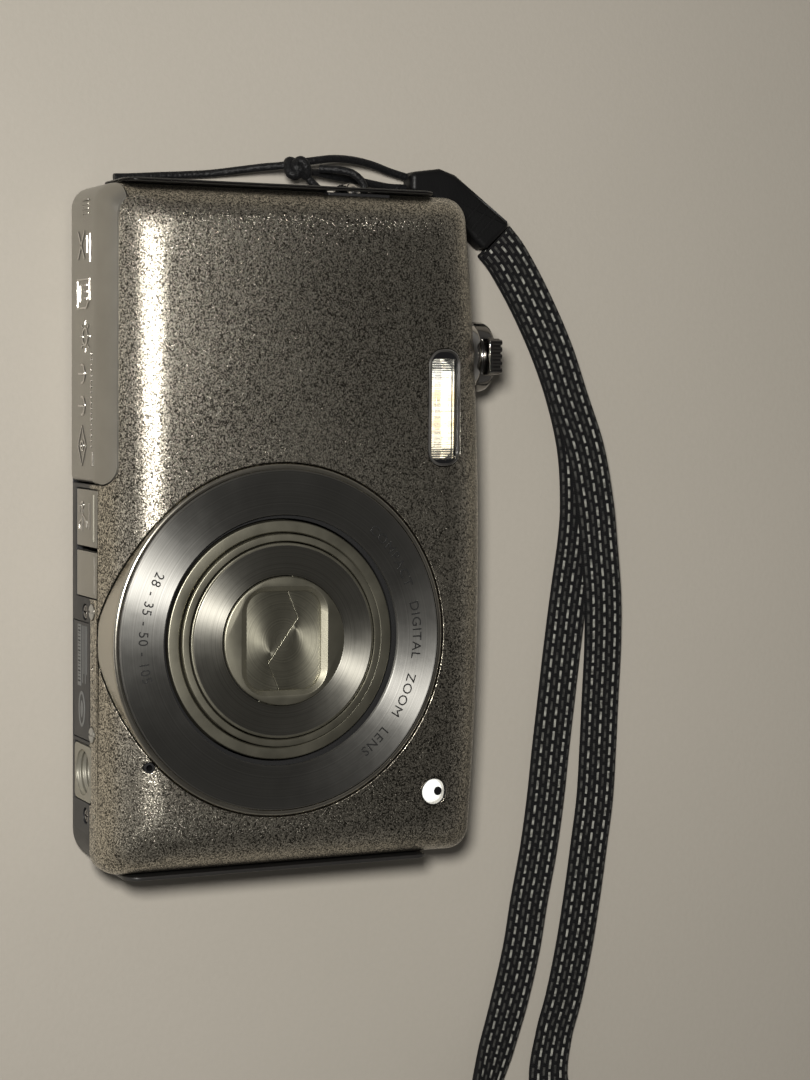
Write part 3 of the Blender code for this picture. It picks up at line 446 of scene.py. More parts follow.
def pane(a_range, b_range, radius, grow=0.0):
    """A rounded rectangle given by its two ranges, grown on every side."""
    (a0, a1), (b0, b1) = grown(a_range, grow), grown(b_range, grow)
    return rounded((a0, b0), (a1, b1), radius)


def level(outline, height):
    return [(x, y, height) for x, y in outline]


def turned(profile, centre=LENS_CENTRE, steps=160, axis="Z"):
    """A closed profile of radius and height, spun about an axis."""
    rings = []
    for i in range(steps):
        angle = 2 * math.pi * i / steps
        along, across = math.cos(angle), math.sin(angle)
        rings.append([ALONG[axis](centre[0] + r * along, centre[1] + r * across, h) for r, h in profile])
    return loft(rings, closed=True)


def stacked(profile, centre, steps=64, axis="Z"):
    """A solid of discs of radius and height, stacked along an axis."""
    place = ALONG[axis]
    return loft([[place(a, b, height) for a, b in circle(centre, radius, steps)]
                 for radius, height in profile])


def evaluated(made):
    """An object's shape with its modifiers, as a bmesh."""
    depsgraph = bpy.context.evaluated_depsgraph_get()
    depsgraph.update()
    source = made.evaluated_get(depsgraph)
    result = bmesh.new()
    result.from_mesh(source.to_mesh())
    source.to_mesh_clear()
    return result


def combine(shape, tools, operation="DIFFERENCE"):
    """Exact booleans of bmeshes."""
    helpers = []
    for part in [shape, *tools]:
        bmesh.ops.recalc_face_normals(part, faces=part.faces)
        mesh = bpy.data.meshes.new("helper")
        part.to_mesh(mesh)
        part.free()
        helpers.append(add_object("helper", mesh))
    base = helpers[0]
    for tool in helpers[1:]:
        modifier = base.modifiers.new("combine", "BOOLEAN")
        modifier.solver = "EXACT"
        modifier.operation = operation
        modifier.object = tool
    result = evaluated(base)
    for helper in helpers:
        mesh = helper.data
        bpy.data.objects.remove(helper, do_unlink=True)
        bpy.data.meshes.remove(mesh)
    return result


def merged(shapes):
    """Several separate shapes as one bmesh."""
    result = bmesh.new()
    for shape in shapes:
        mesh = bpy.data.meshes.new("helper")
        shape.to_mesh(mesh)
        shape.free()
        result.from_mesh(mesh)
        bpy.data.meshes.remove(mesh)
    return result


def piece(name, shape, material, body="root", node=None, bevel=0.0, segments=2, sharp=32):
    """A visible object from a bmesh in body millimetres, riding on a CAD body in place of a CAD node."""
    bmesh.ops.remove_doubles(shape, verts=shape.verts, dist=0.0004)
    bmesh.ops.recalc_face_normals(shape, faces=shape.faces)
    shape.transform(Matrix.Translation(SHIFT) @ Matrix.Scale(MM, 4))
    mesh = bpy.data.meshes.new(name)
    shape.to_mesh(mesh)
    shape.free()
    mesh.materials.append(MATERIALS[material])
    mesh.shade_smooth()
    made = add_object(name, mesh)
    if bevel:
        modifier = made.modifiers.new("bevel", "BEVEL")
        modifier.width = bevel * MM
        modifier.segments = segments
        modifier.limit_method = "ANGLE"
        modifier.angle_limit = math.radians(sharp)
        modifier.use_clamp_overlap = False
        modifier.harden_normals = True
    else:
        mesh.set_sharp_from_angle(angle=math.radians(sharp))
    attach(made, body)
    if node:
        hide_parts(node)
    return made


def ribbon(points, width, low, high, axis="Y", closed=False):
    """A raised stroke of constant width along points in the plane across axis."""
    count = len(points)
    rings = []
    for i, (a, b) in enumerate(points):
        before = points[i - 1] if closed or i > 0 else points[i]
        after = points[(i + 1) % count] if closed or i < count - 1 else points[i]
        da, db = after[0] - before[0], after[1] - before[1]
        size = math.hypot(da, db) or 1.0
        na, nb = -db / size * width / 2, da / size * width / 2
        left, right = (a + na, b + nb), (a - na, b - nb)
        corners = [(*left, low), (*right, low), (*right, high), (*left, high)]
        rings.append([ALONG[axis](*corner) for corner in corners])
    return loft(rings, closed=closed)


def smooth_route(points, spacing):
    """Even points along a Catmull-Rom curve through a route's own points."""
    parts = 24
    points = [Vector(point) for point in points]
    padded = [2 * points[0] - points[1], *points, 2 * points[-1] - points[-2]]
    dense = []
    for a, b, c, d in zip(padded, padded[1:], padded[2:], padded[3:]):
        for i in range(parts):
            t = i / parts
            dense.append(0.5 * (2 * b + (c - a) * t + (2 * a - 5 * b + 4 * c - d) * t ** 2
                                + (3 * b - a - 3 * c + d) * t ** 3))
    dense.append(points[-1])
    lengths = [0.0]
    for before, after in zip(dense, dense[1:]):
        lengths.append(lengths[-1] + (after - before).length)
    count = max(2, round(lengths[-1] / spacing))
    route, index = [], 0
    for i in range(count + 1):
        target = lengths[-1] * i / count
        while index < len(lengths) - 2 and lengths[index + 1] < target:
            index += 1
        share = (target - lengths[index]) / (lengths[index + 1] - lengths[index])
        route.append(dense[index].lerp(dense[index + 1], min(max(share, 0.0), 1.0)))
    return route


# ---------------------------------------------------------------- wrist strap
CORD_DIAMETER = 1.1
BAND_WIDTH = 6.6
BAND_THICKNESS = 1.1
LOW, HIGH = 0.1, 1.4                   # underside of the band on the table and on its other strand

BAND_ROUTE = [
    (-42.1, 36.7, 0.5, 0), (-39.4, 39.3, LOW, 0), (-33.5, 43.1, LOW, 0), (-26.0, 47.0, LOW, 0),
    (-18.3, 50.0, LOW, 0), (-10.7, 51.9, LOW, 0), (-2.9, 52.5, LOW, 0), (3.2, 52.2, LOW, 0),
    (12.4, 50.9, LOW, 0), (20.2, 49.9, LOW, 0), (28.0, 49.0, LOW, 0), (35.8, 48.1, LOW, 0),
    (43.5, 47.3, LOW, 0), (51.3, 46.2, LOW, 0), (59.0, 44.7, LOW, 0), (66.7, 43.4, LOW, 0),
    (74.4, 41.5, LOW, 0), (82.0, 39.0, LOW, 6), (90.0, 35.6, 0.3, 30), (98.0, 32.3, 0.4, 60),
    (105.0, 31.0, 0.3, 84), (112.0, 33.0, 0.2, 90), (116.5, 38.6, 0.2, 90), (116.0, 45.6, 0.2, 90),
    (110.5, 50.4, 0.3, 84), (103.5, 50.9, 0.4, 60), (96.0, 49.8, 0.3, 30), (88.0, 48.3, LOW, 6),
    (81.0, 49.3, LOW, 0), (75.0, 51.0, LOW, 0), (67.2, 52.7, LOW, 0), (59.4, 54.0, LOW, 0),
    (51.5, 55.1, LOW, 0), (43.7, 56.1, LOW, 0), (36.0, 56.5, LOW, 0), (28.2, 56.8, LOW, 0),
    (20.2, 56.9, 0.5, 0), (12.4, 56.4, 1.2, 0), (3.2, 55.4, HIGH, 0), (-2.9, 54.6, HIGH, 0),
    (-10.7, 52.9, HIGH, 0), (-18.3, 50.0, HIGH, 0), (-26.0, 47.0, HIGH, 0), (-33.5, 43.1, HIGH, 0),
    (-39.4, 39.3, 1.6, 0), (-42.1, 36.7, 2.0, 0),
]
KNOT_CENTRE = (-51.1, 3.0, 6.2)
LEG_UPPER = [(-52.3, 5.5, 6.6), (-52.75, 8.5, 6.0), (-52.8, 12.0, 5.0), (-52.4, 15.5, 3.9),
             (-51.6, 18.9, 2.9), (-51.0, 21.7, 2.5)]
LEG_LOWER = [(-50.8, 5.7, 5.2), (-50.4, 9.0, 4.7), (-50.1, 12.5, 4.0), (-49.7, 16.0, 3.1),
             (-49.4, 19.0, 2.4), (-49.4, 21.7, 2.1)]
EYELET_LOOP = [(-49.1, 4.9, 6.9), (-47.8, 5.9, 8.0), (-46.5, 7.2, 9.0), (-45.9, 8.8, 9.6),
               (-46.3, 10.5, 9.9), (-47.6, 11.6, 10.1), (-49.1, 11.4, 10.1), (-50.4, 10.0, 9.8),
               (-50.9, 8.2, 9.1), (-51.0, 6.6, 8.3), (-51.1, 5.6, 7.8)]
TAIL = [(-51.4, 0.6, 5.6), (-51.2, -1.5, 4.6), (-50.7, -5.0, 3.0), (-50.2, -8.5, 1.6),
        (-49.9, -12.0, 0.8), (-49.6, -16.0, 0.6), (-49.3, -19.5, 0.6), (-49.1, -22.6, 0.6)]
CLASP_OUTLINE = [(-51.7, 22.0), (-48.7, 22.0), (-48.2, 25.4), (-46.8, 27.3), (-40.5, 34.3), (-44.4, 38.5),
                 (-45.1, 38.2), (-51.6, 29.3), (-52.4, 26.8)]


def band_frames(points, spacing):
    """Centre, across and normal of the strip along its route; roll turns it up on its edge."""
    centres = []
    for x, y, underside, roll in points:
        lean = math.radians(roll)
        rise = BAND_WIDTH * math.sin(lean) + BAND_THICKNESS * math.cos(lean)
        centres.append((x, y, underside + rise / 2))
    reach = [0.0]
    for before, after in zip(centres, centres[1:]):
        reach.append(reach[-1] + math.dist(before, after))
    route = smooth_route(centres, spacing)
    frames = []
    for i, place in enumerate(route):
        before, after = route[max(i - 1, 0)], route[min(i + 1, len(route) - 1)]
        direction = (after - before).normalized()
        along = reach[-1] * i / (len(route) - 1)
        k = 0
        while k < len(reach) - 2 and reach[k + 1] < along:
            k += 1
        share = min(max((along - reach[k]) / (reach[k + 1] - reach[k]), 0.0), 1.0)
        roll = math.radians(points[k][3] + (points[k + 1][3] - points[k][3]) * share)
        flat = Vector((direction.y, -direction.x, 0.0)).normalized()
        upright = flat.cross(direction).normalized()
        across = flat * math.cos(roll) + upright * math.sin(roll)
        frames.append((place, across, direction.cross(across).normalized()))
    return frames


def band_profile():
    """Cross-section of the webbing: shallow lengthwise ribs on both faces and round edges."""
    ribs, steps = 7, 28
    rib_height, edge_width = 0.09, 0.5
    half_width, half_thickness = BAND_WIDTH / 2, BAND_THICKNESS / 2 - 0.16
    points = []
    for i in range(steps + 1):
        u = i / steps
        edge = min(1.0, min(u, 1 - u) * BAND_WIDTH / edge_width)
        rib = rib_height * abs(math.sin(math.pi * ribs * u))
        rise = half_thickness * math.sqrt(max(0.0, 1 - (1 - edge) ** 2)) + rib
        points.append((-half_width + BAND_WIDTH * u, rise, u))
    under = [(a, -b, u) for a, b, u in reversed(points[1:-1])]
    return points + under


def add_band():
    """The woven band: its cross-section carried along the route, with a map for the weave."""
    frames = band_frames(BAND_ROUTE, 0.9)
    profile = band_profile()
    mesh = bpy.data.meshes.new("strap_webbing")
    shape = bmesh.new()
    layer = shape.loops.layers.uv.new("strip")
    loops, travelled, along = [], 0.0, []
    for i, (place, across, normal) in enumerate(frames):
        if i:
            travelled += (place - frames[i - 1][0]).length
        along.append(travelled)
        loops.append([shape.verts.new(to_world(place + across * a + normal * b)) for a, b, _ in profile])
    count = len(profile)
    for i in range(len(loops) - 1):
        for j in range(count):
            k = (j + 1) % count
            face = shape.faces.new((loops[i][j], loops[i][k], loops[i + 1][k], loops[i + 1][j]))
            for loop, (row, column) in zip(face.loops, ((i, j), (i, k), (i + 1, k), (i + 1, j))):
                loop[layer].uv = (profile[column][2], along[row])
    shape.faces.new(loops[0])
    shape.faces.new(loops[-1])
    bmesh.ops.recalc_face_normals(shape, faces=shape.faces)
    shape.to_mesh(mesh)
    shape.free()
    mesh.shade_smooth()
    mesh.materials.append(MATERIALS["webbing"])
    band = add_object("strap_webbing", mesh)
    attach(band, "root")
    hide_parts("strap_band")


def add_thin_cord(name, points, nodes):
    """A thin round cord as one open curve."""
    route = [to_world(p) for p in smooth_route(points, 0.8)]
    curve = bpy.data.curves.new(name, "CURVE")
    curve.dimensions = "3D"
    curve.bevel_depth = CORD_DIAMETER / 2 * MM
    curve.bevel_resolution = 4
    curve.use_fill_caps = True
    spline = curve.splines.new("POLY")
    spline.points.add(len(route) - 1)
    for spline_point, place in zip(spline.points, route):
        spline_point.co = (*place, 1.0)
    spline.use_smooth = True
    curve.materials.append(MATERIALS["cord_fibre"])
    cord = add_object(name, curve)
    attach(cord, "root")
    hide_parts(*nodes)


def add_knot():
    """An overhand knot: a trefoil of cord round a core, in place of the CAD knot's ellipsoid."""
    steps, turns, strand_radius = 96, 14, 0.72
    rings, centres = [], []
    for i in range(steps):
        t = 2 * math.pi * i / steps
        centres.append(Vector((
            KNOT_CENTRE[0] - 0.62 * math.sin(3 * t) * 1.55,
            KNOT_CENTRE[1] + 0.50 * (math.cos(t) - 2 * math.cos(2 * t)) * 1.02,
            KNOT_CENTRE[2] + 0.50 * (math.sin(t) + 2 * math.sin(2 * t)) * 0.94)))
    side = None
    for i in range(steps):
        direction = (centres[(i + 1) % steps] - centres[i - 1]).normalized()
        side = side or direction.orthogonal().normalized()
        side = (side - direction * side.dot(direction)).normalized()
        up = direction.cross(side)
        rings.append([centres[i] + strand_radius * (side * a + up * b) for a, b in circle((0, 0), 1, turns)])
    tube = loft(rings, closed=True)
    core = bmesh.new()
    bmesh.ops.create_icosphere(core, subdivisions=3, radius=1.0)
    for vertex in core.verts:
        vertex.co = Vector([c + v * r for c, v, r in zip(KNOT_CENTRE, vertex.co, (1.5, 1.5, 1.35))])
    return piece("cord_knot_wraps", merged([tube, core]), "cord_fibre", node="cord_knot", sharp=80)


def add_clasp():
    """Tapered moulded clasp with raised grip lines."""
    body = prism(CLASP_OUTLINE, 0.3, 3.9)
    clasp = piece("clasp_body", body, "clasp_plastic", node="strap_clasp", bevel=0.85,
                  segments=5, sharp=40)
    ridges = []
    for offset in (0.0, 1.5, 3.0):
        start = Vector((-45.9 - offset * 0.62, 36.1 - offset * 0.62 * 1.35))
        end = Vector((-42.4 - offset * 0.75, 32.9 - offset * 0.70))
        ridges.append(ribbon([tuple(start), tuple(end)], 0.45, 3.7, 4.0, axis="Z"))
    piece("clasp_ridges", merged(ridges), "clasp_plastic", bevel=0.08)
    return clasp


add_band()
knot = add_knot()
clasp = add_clasp()
add_thin_cord(
    "cord_through_eyelet", EYELET_LOOP[::-1] + [(-50.3, 4.2, 6.4)] + LEG_LOWER,
    ["cord_eyelet_loop", "cord_leg_lower"])
add_thin_cord(
    "cord_with_tail", LEG_UPPER[::-1] + [(-51.9, 3.2, 6.4)] + TAIL,
    ["cord_leg_upper", "cord_tail"])

# ---------------------------------------------------------------- body shells
HALF_LENGTH, HALF_HEIGHT, DEPTH = 47.4, 28.9, 19.5
ARCH, ARCH_CENTRE = 0.00097, 8.0
WALL, GAP = 1.0, 0.3
SPLIT_REAR, SPLIT_FRONT = 9.2, 9.5
ROUND_START = 11.0
ROUND_RISE = DEPTH - ROUND_START
SIDE_ROUND, END_ROUND = 7.9, 6.0
FRONT_CORNER, REAR_CORNER, REAR_INSET = 3.0, 4.6, 0.15
BEZEL_RADIUS = 24.5
DOOR_X, DOOR_Z, DOOR_TOP_Y, DOOR_CORNER = (-HALF_LENGTH - 2.0, -6.5), (1.2, 16.3), -25.9, 2.6
SEAM = 0.16                            # half-open seams look tighter than the CAD clearance
FLAP_Z, USB_FLAP_X, POWER_FLAP_X = (3.2, 12.4), (-5.6, 2.24), (2.9, 9.2)
TRIPOD_X, TRIPOD_Z = (30.0, 37.8), (2.4, 9.9)
POCKET_Y, POCKET_Z = (4.3, 13.7), (4.6, 14.4)
LEVER_X, LEVER_Z = -24.6, 9.6
POWER_BUTTON = (-11.5, 9.6)
FLASH_X, FLASH_Y = (-25.6, -8.8), (17.65, 22.85)
AF_LAMP, MICROPHONE = (37.5, 19.0), (31.7, -23.5)
SPEAKER_HOLES_X, SPEAKER_HOLES_Z = (16.9, 18.85, 20.8), 10.7
BOSSES_X, BOSS_Z = (11.1, 28.1), 10.5


def top_edge(x):
    """Y of the arched top side."""
    return HALF_HEIGHT - ARCH * (x - ARCH_CENTRE) ** 2


def body_outline(end_inset, side_inset, corner):
    """The body seen from the front: round corners and a slightly arched top side."""
    corner_steps, arch_steps = 10, 16
    left, right = -HALF_LENGTH + end_inset, HALF_LENGTH - end_inset
    bottom = -HALF_HEIGHT + side_inset
    arch_left, arch_right = left + corner, right - corner
    outline = arc((arch_left, bottom + corner), corner, 180, 270, corner_steps)
    outline += arc((arch_right, bottom + corner), corner, 270, 360, corner_steps)
    outline += arc((arch_right, top_edge(arch_right) - side_inset - corner), corner, 0, 90, corner_steps)
    for i in range(1, arch_steps):
        x = arch_right + (arch_left - arch_right) * i / arch_steps
        outline.append((x, top_edge(x) - side_inset))
    outline += arc((arch_left, top_edge(arch_left) - side_inset - corner), corner, 90, 180, corner_steps)
    return outline


def front_ring(angle, wall):
    """One ring of the front cover's rounding: 0 degrees at its foot, 90 on the front face."""
    lean, rise = math.cos(math.radians(angle)), math.sin(math.radians(angle))
    side_inset = SIDE_ROUND - (SIDE_ROUND - wall) * lean
    end_inset = END_ROUND - (END_ROUND - wall) * lean
    corner = FRONT_CORNER + 1.5 * (1 - lean) - 0.5 * wall * lean
    height = ROUND_START + (ROUND_RISE - wall) * rise
    return level(body_outline(end_inset, side_inset, corner), height)


def front_shell(low_edge, wall):
    """The front cover as a hollow tray, open at low_edge."""
    curve_steps = 16
    angles = [90 * i / curve_steps for i in range(curve_steps + 1)]
    straight_outer = [(x, y, low_edge) for x, y, _ in front_ring(0, 0.0)]
    straight_inner = [(x, y, low_edge) for x, y, _ in front_ring(0, wall)]
    inner = [front_ring(angle, wall) for angle in reversed(angles)]
    outer = [front_ring(angle, 0.0) for angle in angles]
    return loft([*inner, straight_inner, straight_outer, *outer])


def rear_shell():
    """The rear cover as a tray with a softened lower edge."""
    def ring(inset, corner, height):
        return level(body_outline(inset, inset, corner), height)
    return loft([
        ring(REAR_INSET + WALL, REAR_CORNER - WALL, 1.3),
        ring(REAR_INSET + WALL, REAR_CORNER - WALL, SPLIT_REAR),
        ring(REAR_INSET, REAR_CORNER, SPLIT_REAR),
        ring(REAR_INSET, REAR_CORNER, 1.3),
        ring(0.28, REAR_CORNER, 0.75),
        ring(0.62, REAR_CORNER - 0.1, 0.3),
        ring(1.2, REAR_CORNER - 0.4, 0.0),
    ])


def door_region(margin):
    """The block that the battery door fills, grown by a margin."""
    right, low, high = DOOR_X[1] + margin, DOOR_Z[0] - margin, DOOR_Z[1] + margin
    corner = DOOR_CORNER + margin
    outline = [(DOOR_X[0], low), (right, low)]
    outline += arc((right - corner, high - corner), corner, 0, 90, 12)
    outline.append((DOOR_X[0], high))
    return prism(outline, -30.0, DOOR_TOP_Y + margin, "Y")


def side_openings(seam):
    """Cutters that pass through both covers' side walls."""
    return [
        door_region(seam),
        box(grown((USB_FLAP_X[0], POWER_FLAP_X[1]), seam), (-30, -27), grown(FLAP_Z, seam)),
        box(grown(TRIPOD_X, seam), (-30, -26), grown(TRIPOD_Z, seam)),
        box((-50, -45.5), grown(POCKET_Y, GAP), grown(POCKET_Z, GAP)),
        prism(circle((LEVER_X, LEVER_Z), 4.3, 40), 24, 31, "Y"),
        prism(circle(POWER_BUTTON, 2.5, 40), 24, 31, "Y"),
    ]


def build_front_cover():
    """The painted cover with its openings, speaker holes and seats for the bosses."""
    above = 22                         # past the front face
    cutters = side_openings(SEAM) + [
        prism(circle(LENS_CENTRE, BEZEL_RADIUS + 0.12, 160), 12.7, above),
        prism(pane(FLASH_X, FLASH_Y, 2.3), 15, above),
        prism(circle(AF_LAMP, 2.05, 40), 15, above),
        prism(circle(MICROPHONE, 0.75, 20), 15, above),
    ]
    for hole_x in SPEAKER_HOLES_X:
        cutters.append(prism(circle((hole_x, SPEAKER_HOLES_Z), 0.33, 16), -30, -27, "Y"))
    for boss_x in BOSSES_X:
        cutters.append(prism(circle((boss_x, BOSS_Z), 1.2, 32), -30, -28.55, "Y"))
    cutters.append(box((9.7, 29.5), (-30, -28.72), (9.0, 9.75)))
    piece("front_cover_shell", combine(front_shell(SPLIT_FRONT - 0.1, WALL), cutters), "champagne_paint",
          node="front_cover", bevel=0.12)


SCREEN_X, SCREEN_Y = (-16.0, 44.5), (-23.5, 22.5)
PAD_CENTRE, PAD_RADIUS, PAD_HOLE_RADIUS = (-31.5, -5.0), 8.6, 3.3
ROUND_BUTTONS = {
    "menu_button": ((-38.3, -20.3), 2.6),
    "delete_button": ((-24.7, -20.3), 2.6),
    "mode_button": ((-38.3, 10.2), 2.8),
    "playback_button": ((-24.7, 10.2), 2.8),
    "movie_button": ((-27.5, 20.0), 3.1),
}
LABEL_X, LABEL_Z = (12.9, 29.2), (1.6, 8.7)
SCREWS = {"label_screw": (11.4, 6.9), "corner_screw": (39.8, 7.4)}


def build_rear_cover():
    """The black cover with its openings, label seat, screw holes and thumb rest."""
    cutters = side_openings(SEAM)
    cutters.append(prism(pane(SCREEN_X, SCREEN_Y, 1.6), -1, 2))
    cutters.append(prism(circle(PAD_CENTRE, PAD_RADIUS + 0.2, 72), -1, 2))
    for centre, radius in ROUND_BUTTONS.values():
        cutters.append(prism(circle(centre, radius + 0.2, 48), -1, 2))
    cutters.append(box(grown(LABEL_X, 0.1), (-30, -28.35), grown(LABEL_Z, 0.1)))
    for place in SCREWS.values():
        cutters.append(prism(circle(place, 1.15, 28), -30, -28.2, "Y"))
        cutters.append(prism(circle(place, 0.8, 20), -29, -26, "Y"))
    for row in range(4):                               # thumb rest: a field of small dimples
        for column in range(7):
            spot = (-43.0 + row * 1.7, 15.2 + column * 1.5)
            cutters.append(prism(circle(spot, 0.36, 10), -0.5, 0.22))
    piece("rear_cover_shell", combine(rear_shell(), cutters), "black_plastic", node="rear_cover", bevel=0.1)


build_front_cover()
build_rear_cover()

# ---------------------------------------------------------------- end trims, pocket, eyelet
TRIM_OUT, TRIM_Z = 0.6, (4.0, 15.0)
EYELET_Y, EYELET_BAR_RADIUS = 9.0, 0.8
EYELET_BAR_X = -HALF_LENGTH - 1.5 + EYELET_BAR_RADIUS
EYELET_BAR_Z = (6.6, 12.4)


def build_ends():
    """The trims on both ends, and the pocket with the bar that the cord goes round."""
    strap_side = prism(pane((-25.6, 21.0), TRIM_Z, 2.2), -HALF_LENGTH - TRIM_OUT, -47.45, "X")
    mouth = prism(pane(POCKET_Y, POCKET_Z, 1.2, -0.6), -50, -46, "X")
    piece("strap_end_cap", combine(strap_side, [mouth]), "trim_plastic", node="strap_end_trim",
          bevel=0.28, segments=3)
    lens_side = prism(pane((-25.3, 20.7), TRIM_Z, 2.2), 47.45, HALF_LENGTH + TRIM_OUT, "X")
    grooves = [box((47.85, 49), (-22.0, 17.4), (z - 0.12, z + 0.12)) for z in (6.6, 12.4)]
    piece("lens_end_cap", combine(lens_side, grooves), "trim_plastic", node="lens_end_trim",
          bevel=0.2, segments=3)
    pocket = box((-47.2, -44.2), POCKET_Y, POCKET_Z)
    hollow = prism(pane(POCKET_Y, POCKET_Z, 1.0, -0.6), -50, -44.9, "X")
    holes = [prism(circle((EYELET_Y, z), EYELET_BAR_RADIUS + 0.12, 24), -46, -43, "X") for z in EYELET_BAR_Z]
    piece("eyelet_well", combine(pocket, [hollow, *holes]), "black_plastic", node="eyelet_pocket", bevel=0.1)
    bend = 1.2
    path = [(-44.4, EYELET_BAR_Z[0])]
    path += arc((EYELET_BAR_X + bend, EYELET_BAR_Z[0] + bend), bend, 270, 180, 10)
    path += arc((EYELET_BAR_X + bend, EYELET_BAR_Z[1] - bend), bend, 180, 90, 10)
    path.append((-44.4, EYELET_BAR_Z[1]))
    rings = []
    for i, (x, z) in enumerate(path):
        before, after = path[max(i - 1, 0)], path[min(i + 1, len(path) - 1)]
        direction = Vector((after[0] - before[0], 0, after[1] - before[1])).normalized()
        side = Vector((-direction.z, 0, direction.x))
        rings.append([Vector((x, EYELET_Y, z)) + EYELET_BAR_RADIUS * (side * a + Vector((0, 1, 0)) * b)
                      for a, b in circle((0, 0), 1, 24)])
    piece("eyelet_staple", loft(rings), "chrome", node="strap_eyelet", sharp=60)


build_ends()

# ---------------------------------------------------------------- battery door and flaps
DOOR_WALL = 1.2
DOOR_PIN = (-7.55, -27.85)
KNUCKLE_Z, KNUCKLE_RADIUS = (6.0, 7.6), 0.65
FACE = -28.9                           # plane of the bottom side


def build_door():
    """The battery door: a corner of the front cover's shape, with its hinge knuckle."""
    room_z = grown(KNUCKLE_Z, GAP)
    door = combine(front_shell(0.5, DOOR_WALL), [door_region(0.0)], "INTERSECT")
    end_trimmer = box((DOOR_PIN[0], 0), (-31, -25), (0.0, ROUND_START))
    corner_trimmer = prism(arc(DOOR_PIN, 1.27, 270, 360, 12)
                           + [(-5.0, DOOR_PIN[1]), (-5.0, -31.0), (DOOR_PIN[0], -31.0)], ROUND_START, 17.0)
    door = combine(door, [end_trimmer, corner_trimmer])
    door = combine(door, [prism(circle(DOOR_PIN, 1.05, 40), DOOR_Z[0], ROUND_START)], "UNION")
    door = combine(door, [
        prism(circle(DOOR_PIN, 0.55, 20), 1.8, 10.8),
        prism(circle(DOOR_PIN, KNUCKLE_RADIUS + 0.1, 24), *room_z),
        box((-9.6, -6.0), (DOOR_PIN[1], -25), room_z),
    ])
    piece("battery_door_shell", door, "satin_champagne", "battery_door", "battery_door")
    build_door_marks()


def icon(strokes, width=0.34):
    """Raised strokes on the bottom side; each is a polyline in X and Z and whether it is closed."""
    return [ribbon(points, width, FACE - 0.13, FACE + 0.05, "Y", closed) for points, closed in strokes]


def build_door_marks():
    """Generic raised pictures: a crossed bin, a memory card, a sun, two arrows, an eye and a row of pips."""
    marks = icon([([(-41.0, 4.4), (-37.2, 7.4)], False), ([(-41.0, 7.4), (-37.2, 4.4)], False),
                  ([(-40.4, 8.3), (-37.9, 8.3)], False), ([(-40.6, 9.6), (-36.7, 9.6)], False)])
    marks += icon([([(-34.4, 4.0), (-34.4, 9.4), (-31.6, 9.4), (-30.5, 8.2), (-30.5, 4.0)], True)])
    marks += icon([([(x, 7.2), (x, 8.5)], False) for x in (-33.6, -32.7, -31.8)], 0.3)
    marks += icon([([(-33.6, 5.2), (-31.3, 5.2)], False)], 0.3)
    sun = (-26.6, 7.6)
    marks += icon([(circle(sun, 1.15, 20), True)])
    for i in range(8):
        ray = math.radians(45 * i)
        marks += icon([([polar(sun, 1.6, ray), polar(sun, 2.2, ray)], False)], 0.3)
    for x in (-21.5, -17.1):
        marks += icon([(arc((x, 6.2), 1.25, 200, -20, 12), False), ([(x, 4.5), (x, 6.9)], False)])
    marks += icon([([(-14.3, 6.2), (-11.6, 8.0), (-8.9, 6.2), (-11.6, 4.4)], True),
                   (circle((-11.6, 6.2), 0.62, 16), True), ([(-10.9, 10.9), (-8.9, 10.9)], False)], 0.32)
    for i in range(18):
        spot = (-24.2 + i * 0.74, 10.3)
        marks.append(prism(circle(spot, 0.2 if i % 3 else 0.3, 10), FACE - 0.12, FACE + 0.05, "Y"))
    piece("door_raised_marks", merged(marks), "chrome", "battery_door", bevel=0.05,
          segments=1)
    slide_ribs = [box((-45.4 + i * 0.62, -45.1 + i * 0.62), (FACE - 0.1, FACE + 0.05), (6.2, 9.0))
                  for i in range(4)]
    piece("door_grip_ribs", merged(slide_ribs), "satin_champagne", "battery_door", bevel=0.06, segments=1)


def flap(x_range):
    """A small cover with a round hinge edge at its foot."""
    y_axis, z_axis = -28.2, FLAP_Z[0] + 0.7
    outline = arc((y_axis, z_axis), 0.7, 180, 360, 16)
    outline += [(y_axis + 0.7, z_axis + 1.0), (-27.8, z_axis + 1.4), (-27.8, FLAP_Z[1]), (-28.7, FLAP_Z[1]),
                (-28.9, FLAP_Z[1] - 0.4)]
    return prism(outline, *x_range, "X")


def build_flaps():
    """The connector cover and the power cable cover, with their grips and raised marks."""
    for name, body, x_range in (("connector_cover_shell", "connector_cover", USB_FLAP_X),
                                ("power_cover_shell", "power_cable_cover", POWER_FLAP_X)):
        piece(name, flap(x_range), "satin_champagne", body, body, bevel=0.14, segments=3)
    grip = box((-5.1, 1.5), (FACE - 0.22, FACE + 0.1), (11.25, 11.75))
    piece("connector_cover_grip", grip, "cream_metal", "connector_cover", bevel=0.1,
          segments=3)
    marks = icon([([(-3.4, 6.4), (0.2, 6.4)], False), (circle((-3.4, 6.4), 0.45, 14), True),
                  ([(-2.2, 6.4), (-1.2, 8.2), (-0.4, 8.2)], False),
                  ([(-1.6, 6.4), (-0.8, 4.8), (0.0, 4.8)], False),
                  ([(-3.8, 9.6), (-0.2, 9.6)], False), ([(-2.4, 5.0), (-3.4, 5.0)], False)], 0.3)
    piece("connector_cover_marks", merged(marks), "chrome", "connector_cover",
          bevel=0.05, segments=1)
    slot_line = box((POWER_FLAP_X[0] + 0.5, POWER_FLAP_X[1] - 0.5), (FACE - 0.1, FACE + 0.1), (11.55, 11.8))
    piece("power_cover_grip", slot_line, "satin_champagne", "power_cable_cover", bevel=0.05)


build_door()
build_flaps()

# ---------------------------------------------------------------- label, tripod socket, screws


